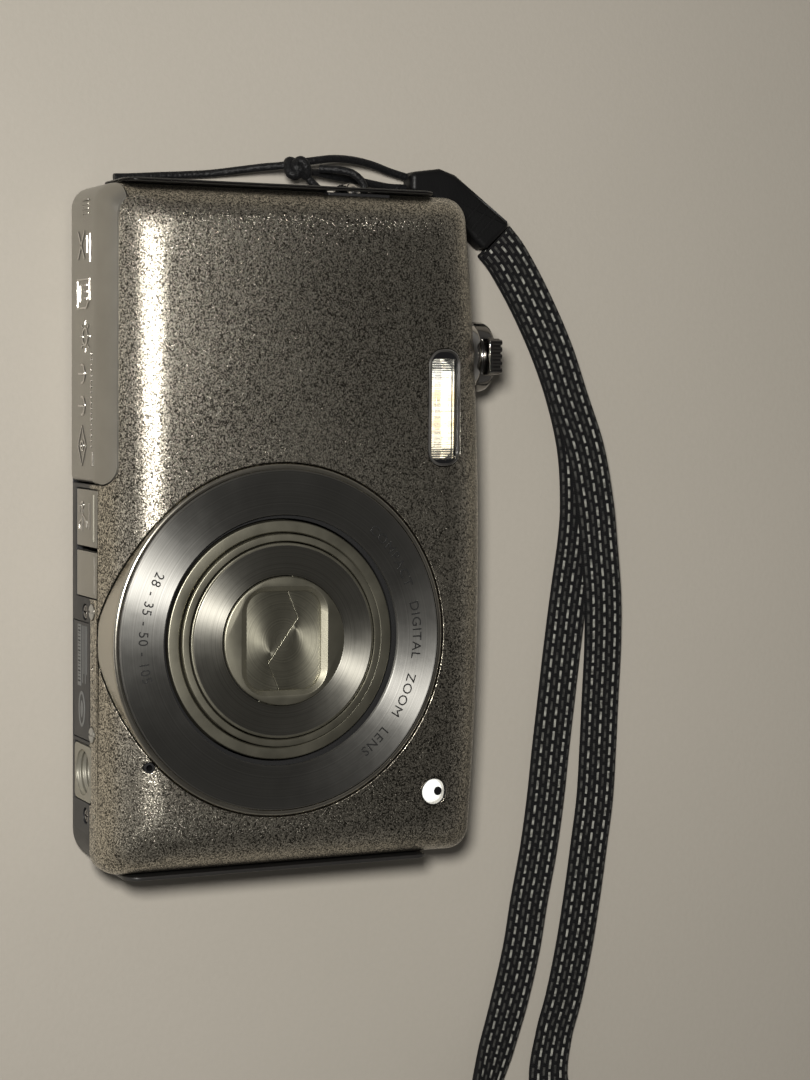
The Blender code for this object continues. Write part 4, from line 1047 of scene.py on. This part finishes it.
def build_bottom():
    """The label, the tripod plate with its thread, the screws and the small bosses."""
    piece("label_plate", box(LABEL_X, (-28.7, -28.45), LABEL_Z), "label_film", node="bottom_label",
          bevel=0.06)
    strips = [box((13.3, 21.9), (-28.74, -28.66), (3.5, 5.0))]
    strips += [box((13.4, 21.4 - 1.3 * (i % 2)), (-28.73, -28.66), (5.6 + 0.62 * i, 5.78 + 0.62 * i))
               for i in range(4)]
    oval = (25.1, 5.3)
    strips.append(ribbon(ellipse(oval, 2.3, 1.25, 32), 0.42, -28.74, -28.66, "Y", True))
    strips.append(prism(ellipse(oval, 1.2, 0.5, 24), -28.74, -28.66, "Y"))
    piece("label_print", merged(strips), "label_print")
    bars = []
    for i in range(17):
        start = 13.6 + 0.47 * i
        bars.append(box((start, start + (0.14, 0.24, 0.1)[i % 3]), (-28.765, -28.735), (3.75, 4.75)))
    piece("label_bars", merged(bars), "ink")
    dark_plate = prism(rounded((37.95, 1.7), (42.3, 9.1), 0.4), -28.82, -28.6, "Y")
    hole = prism(circle(SCREWS["corner_screw"], 1.15, 28), -30, -27, "Y")
    piece("corner_plate", combine(dark_plate, [hole]), "label_film", bevel=0.06)
    for number, boss_x in enumerate(BOSSES_X, 1):
        boss = stacked([(1.08, -28.2), (1.08, -28.95), (0.92, -29.05)], (boss_x, BOSS_Z), 40, "Y")
        slot_cut = box((boss_x - 0.16, boss_x + 0.16), (-29.5, -28.85), (BOSS_Z - 1.3, BOSS_Z + 1.3))
        piece(f"boss_{number}", combine(boss, [slot_cut]), "steel")
    pip = stacked([(0.3, -28.7), (0.3, -28.95), (0.18, -29.0)], (39.3, 11.5), 20, "Y")
    piece("bottom_pip", pip, "cream_metal")

    centre = ((TRIPOD_X[0] + TRIPOD_X[1]) / 2, (TRIPOD_Z[0] + TRIPOD_Z[1]) / 2)
    plate = prism(pane(TRIPOD_X, TRIPOD_Z, 0.8), -28.85, -22.6, "Y")
    bore = [(3.2, -29.2), (3.2, -28.55)]
    for i in range(6):
        bore += [(2.95, -28.2 + i * 0.75), (3.2, -27.85 + i * 0.75)]
    bore += [(2.9, -23.6)]
    piece("tripod_plate", combine(plate, [stacked(bore, centre, 64, "Y")]), "cream_metal",
          node="tripod_socket", bevel=0.08)

    for name, (x, z) in SCREWS.items():
        profile = [(0.6, -24.2), (0.6, -28.3), (0.95, -28.32), (0.95, -28.6), (0.75, -28.72)]
        screw = stacked(profile, (x, z), 32, "Y")
        slots = [box((x - a, x + a), (-29, -28.45), (z - b, z + b)) for a, b in ((0.62, 0.13), (0.13, 0.62))]
        piece(f"{name}_head", combine(screw, slots), "dark_chrome", node=name, bevel=0.04,
              segments=1)


build_bottom()

# ---------------------------------------------------------------- lens
FLANGE_TOP = 18.8
BLADE_Z = (19.1, 19.5)
BLADE_PIVOT = (-9.18, 2.46)
WINDOW_HALF = (6.85, 5.5)
BLADE_SEAM = [(-7.2, 0.7), (-6.6, 0.7), (-3.1, 2.2), (0.0, 0.0), (3.1, -2.2), (6.6, -0.7), (7.2, -0.7)]


def about_lens(points, side=1):
    """Points given from the lens axis; side -1 turns them half round."""
    return [(LENS_X + side * x, LENS_Y + side * y) for x, y in points]


def window_outline(grow_x, grow_y, corner):
    """The lens window with its round corners, grown along and across."""
    half_x, half_y = WINDOW_HALF[0] + grow_x, WINDOW_HALF[1] + grow_y
    return rounded((LENS_X - half_x, LENS_Y - half_y), (LENS_X + half_x, LENS_Y + half_y), corner, 12)


def curved_text(words, middle, radius, size, outward):
    """Raised generic lettering bent round the lens; middle is its angle from +Y towards +X, in degrees."""
    curve = bpy.data.curves.new("words", "FONT")
    curve.body, curve.size, curve.align_x, curve.space_character = words, size, "CENTER", 1.12
    curve.extrude = 0.03
    curve.resolution_u = 4
    holder = add_object("words", curve)
    shape = evaluated(holder)
    bpy.data.objects.remove(holder, do_unlink=True)
    way = 1.0 if outward else -1.0
    ring_face = 19.87
    for vertex in shape.verts:
        out = radius + way * vertex.co.y
        angle = math.radians(middle) + way * vertex.co.x / radius
        x, y = LENS_X + out * math.sin(angle), LENS_Y + out * math.cos(angle)
        vertex.co = Vector((x, y, ring_face + vertex.co.z))
    return shape


def build_lens_surround():
    """The polished bezel and the brushed ring with its words."""
    rim = [(24.5, 13.0), (24.5, 18.7)]
    rim += arc((23.95, 19.05), 0.55, 0, 90, 8)
    rim += [(23.75, 19.55), (23.75, 18.9), (17.7, 18.9), (17.7, 17.9), (23.5, 17.9), (23.5, 13.0)]
    piece("bezel_rim", turned(rim), "bezel_metal", node="lens_bezel", sharp=40)
    decor = [(17.4, 19.2), (17.4, 19.75), (17.5, 19.85), (23.4, 19.85), (23.55, 19.7), (23.55, 19.2)]
    piece("decor_ring_face", turned(decor), "brushed_gunmetal", node="lens_decor_ring", sharp=25)
    words = [curved_text("COMPACT   DIGITAL   ZOOM   LENS", 2.0, 19.65, 1.95, True),
             curved_text("28 - 35 - 50 - 105", 187.0, 21.0, 1.95, False)]
    piece("decor_ring_lettering", merged(words), "ink", sharp=60)
    base = [(6.0, 6.0), (19.6, 6.0), (19.6, 17.6), (18.4, 17.6), (18.4, 6.9), (6.0, 6.9)]
    piece("lens_base_tub", turned(base, steps=96), "black_plastic", node="lens_base", bevel=0.12)
    dust_seal = [(16.85, 18.35), (17.75, 18.35), (17.75, 18.85), (16.85, 18.85)]
    piece("dust_seal", turned(dust_seal), "seal_felt", bevel=0.1)


def build_barrels():
    """The cam ring, the three barrels, the ring and disc on the front barrel."""
    cam = turned([(17.2, 7.3), (18.1, 7.3), (18.1, 17.5), (17.2, 17.5)], steps=96)
    notches = []
    for k in (0.5, 2.6, 4.7):
        corners = ((16.9, k - 0.06), (18.5, k - 0.06), (18.5, k + 0.06), (16.9, k + 0.06))
        notches.append(prism([polar(LENS_CENTRE, r, a) for r, a in corners], 16.6, 18))
    piece("cam_ring_sleeve", combine(cam, notches), "black_plastic", "cam_ring", "cam_ring", bevel=0.08)
    outer = [(15.6, 7.6), (16.6, 7.6), (16.6, 9.0), (16.5, 9.1), (16.5, 9.4), (16.6, 9.5), (16.6, 18.8)]
    outer += arc((16.4, 18.9), 0.2, 0, 90, 4)
    outer += [(15.1, 19.1), (14.95, 19.0), (14.95, 18.1), (15.6, 18.1)]
    piece("outer_barrel_tube", turned(outer), "champagne_metal", "barrel_outer", "lens_barrel_outer",
          sharp=30)
    middle = [(14.0, 7.9), (14.75, 7.9), (14.75, 19.5)]
    middle += arc((14.6, 19.65), 0.15, 0, 90, 4)
    middle += [(13.85, 19.8), (13.75, 19.7), (13.75, 18.9), (14.0, 18.9)]
    piece("middle_barrel_tube", turned(middle), "champagne_metal", "barrel_middle", "lens_barrel_middle",
          sharp=30)
    front = [(12.75, 8.2), (13.55, 8.2), (13.55, 19.5)]
    front += arc((13.4, 19.75), 0.15, 0, 90, 4)
    front += [(13.1, 19.9), (13.1, FLANGE_TOP), (6.8, FLANGE_TOP), (6.8, 15.6), (12.75, 15.6)]
    pins = [prism(circle(about_lens([BLADE_PIVOT], side)[0], 0.4, 20), FLANGE_TOP - 0.4, BLADE_Z[1])
            for side in (1, -1)]
    piece("front_barrel_tube", combine(turned(front), pins, "UNION"), "champagne_metal", "barrel_front",
          "lens_barrel_front", sharp=30)
    well = [(13.05, 18.78), (13.05, 18.95), (6.9, 18.95), (6.9, 18.78)]
    piece("front_barrel_well", turned(well), "black_plastic", "barrel_front")
    ring = [(9.05, 19.7), (13.2, 19.7), (13.2, 19.93), (13.14, 19.97), (9.12, 19.97), (9.05, 19.9)]
    piece("name_ring", turned(ring), "brushed_ring", "barrel_front", "lens_front_ring",
          sharp=30)
    disc = stacked([(8.92, 19.7), (8.92, 20.2), (8.86, 20.34), (8.7, 20.4)], LENS_CENTRE, 128)
    cone = loft([level(window_outline(*shape), height)
                 for height, shape in ((19.0, (0, 0, 2.6)), (19.9, (0, 0, 2.6)), (20.5, (0.85, 1.05, 4.1)))])
    piece("window_disc", combine(disc, [cone]), "champagne_metal", "barrel_front", "lens_front_disc",
          bevel=0.05, sharp=22)


def build_blade(side, name, body):
    """One cover blade: half the window's plate and the lug that it turns on."""
    outline = [(x, y + 0.045) for x, y in BLADE_SEAM]
    edge = [(7.2, 3.1), (7.0, 3.9), (6.25, 4.7), (5.3, 5.5), (4.0, 5.9)]
    outline += edge + [(-x, y) for x, y in reversed(edge)]
    plate = prism(about_lens(outline, side), *BLADE_Z)
    lug_outline = arc(BLADE_PIVOT, 1.15, 80, 280, 16) + [(-6.8, 1.4), (-6.8, 3.2)]
    lug = prism(about_lens(lug_outline, side), *BLADE_Z)
    pivot = about_lens([BLADE_PIVOT], side)[0]
    shape = combine(plate, [lug], "UNION")
    shape = combine(shape, [prism(circle(pivot, 0.5, 20), 18, 21)])
    piece(f"{name}_plate", shape, "blade_metal", body, name, bevel=0.05)


def build_optics():
    """The front lens element and the focus lens."""
    glass = [(6.2, 15.9), (6.5, 16.1), (6.5, 17.2), (6.1, 17.5), (5.2, 17.9), (4.2, 18.2), (2.9, 18.4),
             (1.5, 18.5), (0.4, 18.52)]
    piece("front_lens_glass", stacked(glass, LENS_CENTRE, 96), "lens_glass", "barrel_front",
          "front_lens_element", sharp=40)
    focus = [(4.6, 8.2), (7.2, 8.4), (7.2, 9.4), (5.6, 9.6), (5.0, 10.2), (3.4, 10.6), (1.6, 10.8),
             (0.4, 10.82)]
    piece("focus_lens_glass", stacked(focus, LENS_CENTRE, 64), "lens_glass", "focus_lens", "focus_lens",
          sharp=40)


build_lens_surround()
build_barrels()
build_blade(1, "lens_cover_blade_a", "blade_a")
build_blade(-1, "lens_cover_blade_b", "blade_b")
build_optics()

# ---------------------------------------------------------------- flash, lamp, microphone


def build_flash():
    """The flash: a dark housing, a chrome lip, a tube in a bent mirror that both carry a painted glow, and a
    ribbed window.
    """
    inset, corner = 0.12, 2.15
    housing = prism(pane(FLASH_X, FLASH_Y, corner, -inset), 14.6, 19.25)
    room = loft([level(rounded((-23.6, 18.5), (-10.4, 21.95), 0.5), 15.2),
                 level(rounded((-24.2, 18.3), (-9.8, 22.2), 0.7), 19.9)])
    piece("flash_frame", combine(housing, [room]), "black_gloss", node="flash_reflector",
          bevel=0.12)
    lip = ((0.0, 19.1), (0.0, 19.32), (0.12, 19.4), (0.4, 19.3), (0.4, 19.1))
    chrome_lip = loft([level(pane(FLASH_X, FLASH_Y, corner - g, -inset - g), z) for g, z in lip], closed=True)
    piece("flash_lip", chrome_lip, "chrome", sharp=50)
    trough = []
    for i in range(13):                                # a bent mirror behind the tube
        t = -1 + 2 * i / 12
        trough.append((20.2 + 1.75 * t, 15.6 + 2.3 * t * t))
    mirror = loft([[(x, y, z) for y, z in trough] + [(x, y, z - 0.25) for y, z in reversed(trough)]
                   for x in (-22.4, -11.4)])
    # the mirror and tube glow with a painted highlight and reflection
    piece("flash_trough", mirror, "flash_mirror", sharp=60)
    tube = stacked([(0.7, -22.6), (0.9, -22.3), (0.9, -11.5), (0.7, -11.2)], (20.2, 16.7), 32, "X")
    piece("flash_tube", tube, "flash_mirror", sharp=50)
    ribs = [(-24.0 + 14.0 * i / 168, 18.62 + (0.22 if i % 4 in (1, 2) else 0.0)) for i in range(169)]
    window = loft([[(x, y, z) for x, z in ribs] + [(x, y, 18.3) for x, _ in reversed(ribs)]
                   for y in (18.55, 21.95)])
    piece("flash_ribbed_window", window, "clear_plastic", node="flash_window", sharp=20)


def build_lamp():
    """The autofocus lamp with its ring, and the microphone's sleeve."""
    dome = [(1.7, 17.0), (1.7, 18.7), (1.55, 18.95), (1.25, 19.15), (0.8, 19.3), (0.3, 19.36)]
    piece("lamp_dome", stacked(dome, AF_LAMP, 48), "lamp_glow", node="af_lamp_lens",
          sharp=60)
    ring = [(1.72, 18.6), (2.03, 18.6), (2.03, 19.4), (1.95, 19.55), (1.8, 19.55), (1.72, 19.4)]
    piece("lamp_ring", turned(ring, AF_LAMP, 64), "chrome", sharp=50)
    spot = [(0.62, 19.0), (0.62, 19.36), (0.5, 19.42)]
    piece("lamp_spot", stacked(spot, (AF_LAMP[0], AF_LAMP[1] + 0.75), 24), "black_gloss")
    mic = [(0.45, 16.5), (0.72, 16.5), (0.72, 19.2), (0.45, 19.2)]
    piece("microphone_sleeve", turned(mic, MICROPHONE, 32), "black_plastic")


build_flash()
build_lamp()

# ---------------------------------------------------------------- controls on the top side


def build_top_controls():
    """The shutter button in the zoom lever, and the power button with its lamp."""
    collar = [(4.4, 27.0), (5.45, 27.0), (5.45, 28.05), (5.3, 28.28), (4.5, 28.28), (4.4, 28.2)]
    piece("lever_collar", turned(collar, (LEVER_X, LEVER_Z), 96, "Y"), "chrome", sharp=40)
    button = [(2.2, 25.0), (2.9, 25.2), (2.9, 30.4), (2.84, 30.8), (2.62, 31.15), (2.2, 31.42), (1.6, 31.58),
              (0.9, 31.68), (0.3, 31.7)]
    piece("shutter_cap", stacked(button, (LEVER_X, LEVER_Z), 64, "Y"), "bezel_metal", "shutter_button",
          "shutter_button", sharp=50)
    profile = [(3.2, 25.6), (3.9, 25.6), (3.9, 28.42), (4.95, 28.42), (5.1, 28.7), (5.1, 30.3), (4.95, 30.75),
               (4.6, 31.0), (3.5, 31.0), (3.2, 30.8)]
    lever = turned(profile, (LEVER_X, LEVER_Z), 96, "Y")
    tab = rounded((LEVER_X - 2.6, LEVER_Z + 4.0), (LEVER_X + 2.6, LEVER_Z + 6.6), 0.7)
    lever = combine(lever, [prism(tab, 28.9, 30.75, "Y")], "UNION")
    piece("zoom_lever_ring", lever, "dark_chrome", "zoom_lever", "zoom_lever", bevel=0.12, sharp=40)
    bumps = [prism(circle((LEVER_X - 2.0 + i, LEVER_Z + 6.3), 0.42, 20), 28.95, 30.95, "Y") for i in range(5)]
    piece("zoom_lever_bumps", merged(bumps), "dark_chrome", "zoom_lever", bevel=0.1)
    power = [(3.1, 26.2), (3.1, 26.9), (2.3, 26.92), (2.3, 28.3), (2.2, 28.55), (1.9, 28.68), (0.3, 28.7)]
    piece("power_cap", stacked(power, POWER_BUTTON, 64, "Y"), "dark_chrome", "power_button", "power_button",
          sharp=50)
    dot = stacked([(0.42, 28.5), (0.42, 28.72), (0.3, 28.76)], POWER_BUTTON, 24, "Y")
    piece("power_lamp", dot, "lamp_green", "power_button", sharp=50)


build_top_controls()

# ---------------------------------------------------------------- screen and rear controls
CAP_TOP, FLANGE_Z = 0.15, (1.6, 2.3)
PRINT_Z = (0.10, 0.19)                 # rear icons lie in the cap faces, just proud of them


def rear_icon(name, body, strokes, width=0.26):
    """Strokes printed on a button; each is a polyline and whether it is closed."""
    marks = [ribbon(points, width, *PRINT_Z, "Z", closed) for points, closed in strokes]
    piece(name, merged(marks), "white_print", body)


def build_rear():
    """The screen, the round buttons, the pad and its centre button."""
    piece("screen_pane", prism(pane(SCREEN_X, SCREEN_Y, 1.4, -0.2), 0.2, 1.1), "screen_glass",
          node="screen_window", bevel=0.1)
    border = combine(prism(pane(SCREEN_X, SCREEN_Y, 1.3, -0.45), 0.16, 0.24),
                     [prism(rounded((-12.4, -20.6), (42.0, 20.2), 0.3), 0, 1)])
    piece("screen_border", border, "black_gloss")
    panel = prism(rounded((-14.6, -22.3), (43.4, 21.5), 0.5), 1.4, 3.4)
    piece("display_panel", panel, "display_back", node="screen_panel", bevel=0.15)
    for name, (centre, radius) in ROUND_BUTTONS.items():
        profile = [(0.3, CAP_TOP + 0.12), (radius * 0.55, CAP_TOP + 0.06), (radius - 0.5, CAP_TOP),
                   (radius - 0.2, CAP_TOP + 0.02), (radius, CAP_TOP + 0.22), (radius, FLANGE_Z[0]),
                   (radius + 0.8, FLANGE_Z[0] + 0.02), (radius + 0.8, FLANGE_Z[1])]
        piece(f"{name}_cap", stacked(profile, centre, 64), "grey_plastic", name, name, sharp=40)
    build_rear_icons()
    hole, rim = PAD_HOLE_RADIUS, PAD_RADIUS
    pad = [(hole, 0.5), (hole + 0.3, 0.3), (rim - 2.2, 0.22), (rim - 0.6, CAP_TOP),
           (rim - 0.2, CAP_TOP + 0.06), (rim, CAP_TOP + 0.3), (rim, FLANGE_Z[0]),
           (rim + 0.8, FLANGE_Z[0] + 0.02), (rim + 0.8, FLANGE_Z[1]), (hole, FLANGE_Z[1])]
    piece("multi_selector_ring", turned(pad, PAD_CENTRE, 96), "grey_plastic", "multi_selector",
          "multi_selector", sharp=30)
    ok = [(0.3, 0.42), (1.6, 0.38), (2.5, 0.3), (2.75, 0.34), (2.95, 0.55), (2.95, 2.5)]
    piece("ok_cap", stacked(ok, PAD_CENTRE, 48), "grey_plastic", "ok_button", "ok_button", sharp=40)
    lamp = stacked([(0.5, 0.6), (0.5, 0.02), (0.35, -0.0)], (-20.6, 20.6), 24)
    piece("rear_lamp", lamp, "lamp_green", sharp=50)


def build_rear_icons():
    """Generic pictures on the buttons: lines, a bin, a camera, an arrow, a red dot and four pointers."""
    x, y = ROUND_BUTTONS["menu_button"][0]
    rear_icon("menu_icon", "menu_button",
              [([(x - 1.0, y + o), (x + 1.0, y + o)], False) for o in (-0.6, 0.0, 0.6)])
    x, y = ROUND_BUTTONS["delete_button"][0]
    rear_icon("delete_icon", "delete_button", [
        ([(x - 0.8, y + 0.7), (x + 0.8, y + 0.7)], False),
        ([(x - 0.6, y + 0.5), (x - 0.45, y - 0.9), (x + 0.45, y - 0.9), (x + 0.6, y + 0.5)], False),
        ([(x, y + 0.3), (x, y - 0.7)], False)], 0.22)
    x, y = ROUND_BUTTONS["mode_button"][0]
    rear_icon("mode_icon", "mode_button", [
        ([(x - 1.1, y - 0.7), (x + 1.1, y - 0.7), (x + 1.1, y + 0.6), (x - 1.1, y + 0.6)], True),
        (circle((x, y), 0.42, 16), True)], 0.22)
    x, y = ROUND_BUTTONS["playback_button"][0]
    rear_icon("playback_icon", "playback_button",
              [([(x + 0.6, y - 0.7), (x + 0.6, y + 0.7), (x - 0.7, y)], True)], 0.24)
    x, y = ROUND_BUTTONS["movie_button"][0]
    disc = stacked([(0.9, PRINT_Z[0] - 0.02), (0.9, PRINT_Z[1] + 0.1)], (x, y), 32)
    piece("movie_icon", disc, "red_print", "movie_button")
    pad_marks = []
    for turn in range(4):
        a = math.radians(90 * turn)
        pointer = [polar(polar(PAD_CENTRE, 6.2, a + o), d, a)
                   for o, d in ((-0.1, -0.3), (0.0, 0.35), (0.1, -0.3))]
        pad_marks.append(ribbon(pointer, 0.22, 0.12, 0.24, "Z", True))
    piece("pad_marks", merged(pad_marks), "white_print", "multi_selector")


build_rear()

# ---------------------------------------------------------------- inside


def build_inside():
    """Details on the pieces seen when a door is open or the covers are off."""
    battery = prism(rounded((-43.9, -26.0), (-12.4, 13.5), 1.5), 8.4, 14.2)
    piece("battery_case", battery, "battery_shell", node="battery", bevel=0.35,
          segments=3)
    wrap = prism(rounded((-41.5, -21.5), (-14.8, 9.5), 0.8), 14.16, 14.3)
    piece("battery_wrap", wrap, "battery_label", bevel=0.04)
    stripes = [box((-40.0, -28.0 + 5 * (i % 3)), (-18.0 + 3.1 * i, -17.2 + 3.1 * i), (14.28, 14.34))
               for i in range(8)]
    piece("battery_print", merged(stripes), "label_print")
    contacts = [box((-37.0 + 3.4 * i, -35.0 + 3.4 * i), (-26.06, -25.9), (9.6, 12.6)) for i in range(3)]
    piece("battery_contacts", merged(contacts), "gold_contact", bevel=0.05)
    outline = [(-40.0, -25.4), (-16.0, -25.4), (-16.0, 3.4), (-19.0, 6.6), (-40.0, 6.6)]
    piece("card_body", prism(outline, 5.0, 7.1), "black_plastic", "memory_card", "memory_card", bevel=0.3,
          segments=3)
    label = [(-38.6, -18.0), (-17.4, -18.0), (-17.4, 2.8), (-19.6, 5.2), (-38.6, 5.2)]
    piece("card_label", prism(label, 7.06, 7.16), "battery_label", "memory_card")
    lines = [box((-37.0, -24.0 + 2 * (i % 2)), (-14.0 + 2.4 * i, -13.3 + 2.4 * i), (7.14, 7.2))
             for i in range(6)]
    piece("card_print", merged(lines), "label_print", "memory_card")

    board = 3.45                       # top of the circuit board
    chips = [prism(rounded(low, high, 0.25), board, top) for low, high, top in (
        ((-41.0, 3.0), (-30.5, 13.5), 3.78), ((-28.5, 9.0), (-20.5, 17.0), 3.75),
        ((-42.0, -18.0), (-35.0, -10.0), 3.76), ((-33.0, -20.5), (-27.0, -14.0), 3.74),
        ((-25.5, -12.0), (-19.5, -6.0), 3.75), ((-41.0, 17.5), (-34.0, 22.5), 3.75))]
    piece("board_chips", merged(chips), "black_plastic", bevel=0.06)
    rng = random.Random(7)
    parts = []
    for _ in range(60):
        x, y = rng.uniform(-42.5, -19.0), rng.uniform(-23.0, 24.0)
        parts.append(box((x, x + 0.9), (y, y + 0.5), (board, 3.72)))
    piece("board_parts", merged(parts), "cream_metal")
    motor = stacked([(2.9, -2.0), (3.2, -1.7), (3.2, 10.6), (3.0, 11.0)], (19.2, 9.0), 48, "X")
    gearbox = box((10.4, 24.0), (15.9, 22.4), (5.6, 12.4))
    piece("motor_case", combine(motor, [gearbox], "UNION"), "grey_plastic", node="zoom_motor")
    capacitor = [(2.6, -16.0), (3.1, -15.9), (3.3, -15.6), (3.3, -14.4), (3.1, -14.2), (3.3, -14.0),
                 (3.3, 7.6), (3.1, 8.0)]
    piece("capacitor_can", stacked(capacitor, (-8.8, 9.2), 48, "Y"), "black_gloss", node="flash_capacitor",
          sharp=40)
    speaker = [(4.3, 10.6), (4.3, 11.8), (4.1, 12.0), (3.6, 12.0), (3.4, 12.5), (2.0, 12.6), (1.8, 12.45),
               (0.3, 12.4)]
    piece("speaker_can", stacked(speaker, (40.2, -18.2), 48), "black_plastic", node="speaker", sharp=30)
    piece("latch_bar", box((-14.6, -11.2), (-26.65, -26.15), (9.4, 12.2)), "orange_plastic", "battery_latch",
          "battery_latch", bevel=0.12, segments=3)


build_inside()

# CAD pieces whose shape is right keep it and get a detailed finish
for node, material in (("main_board", "circuit_board"), ("chassis_plate", "steel"), ("door_slider", "steel"),
                       ("connector_socket", "steel"), ("image_sensor", "screen_glass")):
    for material_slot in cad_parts[node].material_slots:
        material_slot.material = MATERIALS[material]

# ---------------------------------------------------------------- floor and light


def add_floor():
    """A large pale mat under the object, slightly mottled."""
    s = Shader("floor_mat", (0.45, 0.415, 0.355), 0.65, 0.0)
    fine, broad = s.noise(1400, 3), s.noise(9, 3)
    tone = s.math("ADD", s.math("MULTIPLY", fine, 0.25), s.math("MULTIPLY", broad, 0.75))
    s.set(Base_Color=s.mix(s.span(tone, 0.3, 0.7), (0.44, 0.41, 0.355), (0.48, 0.445, 0.39)),
          Normal=s.bump(fine, 0.00003))
    half, height = 1.2, -0.0002
    corners = [(x, y, height) for x, y in ((-half, -half), (half, -half), (half, half), (-half, half))]
    mesh = bpy.data.meshes.new("floor")
    mesh.from_pydata(corners, [], [(0, 1, 2, 3)])
    mesh.materials.append(s.material)
    floor = add_object("floor", mesh)


KEY_OFFSET, KEY_TARGET = (-0.04, -0.018, 0.0), (0.02, 0.05, 0.01)      # a flash beside the camera
KEY_SIZE, KEY_POWER, KEY_SPREAD, KEY_COLOUR = 0.05, 0.86, 150, (1.0, 0.975, 0.93)
STRIP_PLACE, STRIP_TARGET = (-0.03, -0.5, 0.085), (-0.01, -0.03, 0.015)  # low light on the bottom side
STRIP_SIZE, STRIP_HEIGHT, STRIP_POWER, STRIP_COLOUR = 0.5, 0.07, 0.14, (1.0, 0.98, 0.95)
ROOM_COLOUR = (1.0, 0.965, 0.91, 1.0)
ROOM_RAMP = {"From Min": 0.25, "From Max": 0.8, "To Min": 0.19, "To Max": 0.045}   # dim ceiling, bright walls


def add_area(name, place, target, size, power, color, shape="DISK"):
    """An area light at a place, facing a target."""
    data = bpy.data.lights.new(name, "AREA")
    data.shape, data.size, data.energy, data.color = shape, size, power, color
    light = add_object(name, data)
    light.location = place
    light.rotation_euler = (Vector(target) - Vector(place)).to_track_quat("-Z", "Y").to_euler()
    return data


def add_lights():
    """A key light beside the camera, a low strip for the bottom side and a faint room."""
    eye = camera.matrix_world.translation
    key = add_area("key", eye + Vector(KEY_OFFSET), KEY_TARGET, KEY_SIZE, KEY_POWER, KEY_COLOUR)
    key.spread = math.radians(KEY_SPREAD)
    strip = add_area("low_strip", STRIP_PLACE, STRIP_TARGET, STRIP_SIZE, STRIP_POWER, STRIP_COLOUR,
                     "RECTANGLE")
    strip.size_y = STRIP_HEIGHT
    world = bpy.data.worlds.new("room")
    world.use_nodes = True
    tree = world.node_tree
    background = tree.nodes["Background"]
    background.inputs[0].default_value = ROOM_COLOUR
    direction = tree.nodes.new("ShaderNodeTexCoord").outputs["Generated"]
    split = tree.nodes.new("ShaderNodeSeparateXYZ")
    ramp = tree.nodes.new("ShaderNodeMapRange")
    for socket, value in ROOM_RAMP.items():
        ramp.inputs[socket].default_value = value
    tree.links.new(direction, split.inputs[0])
    tree.links.new(split.outputs[2], ramp.inputs["Value"])
    tree.links.new(ramp.outputs["Result"], background.inputs[1])
    bpy.context.scene.world = world
    bpy.context.scene.view_settings.view_transform = "Standard"


add_floor()
add_lights()
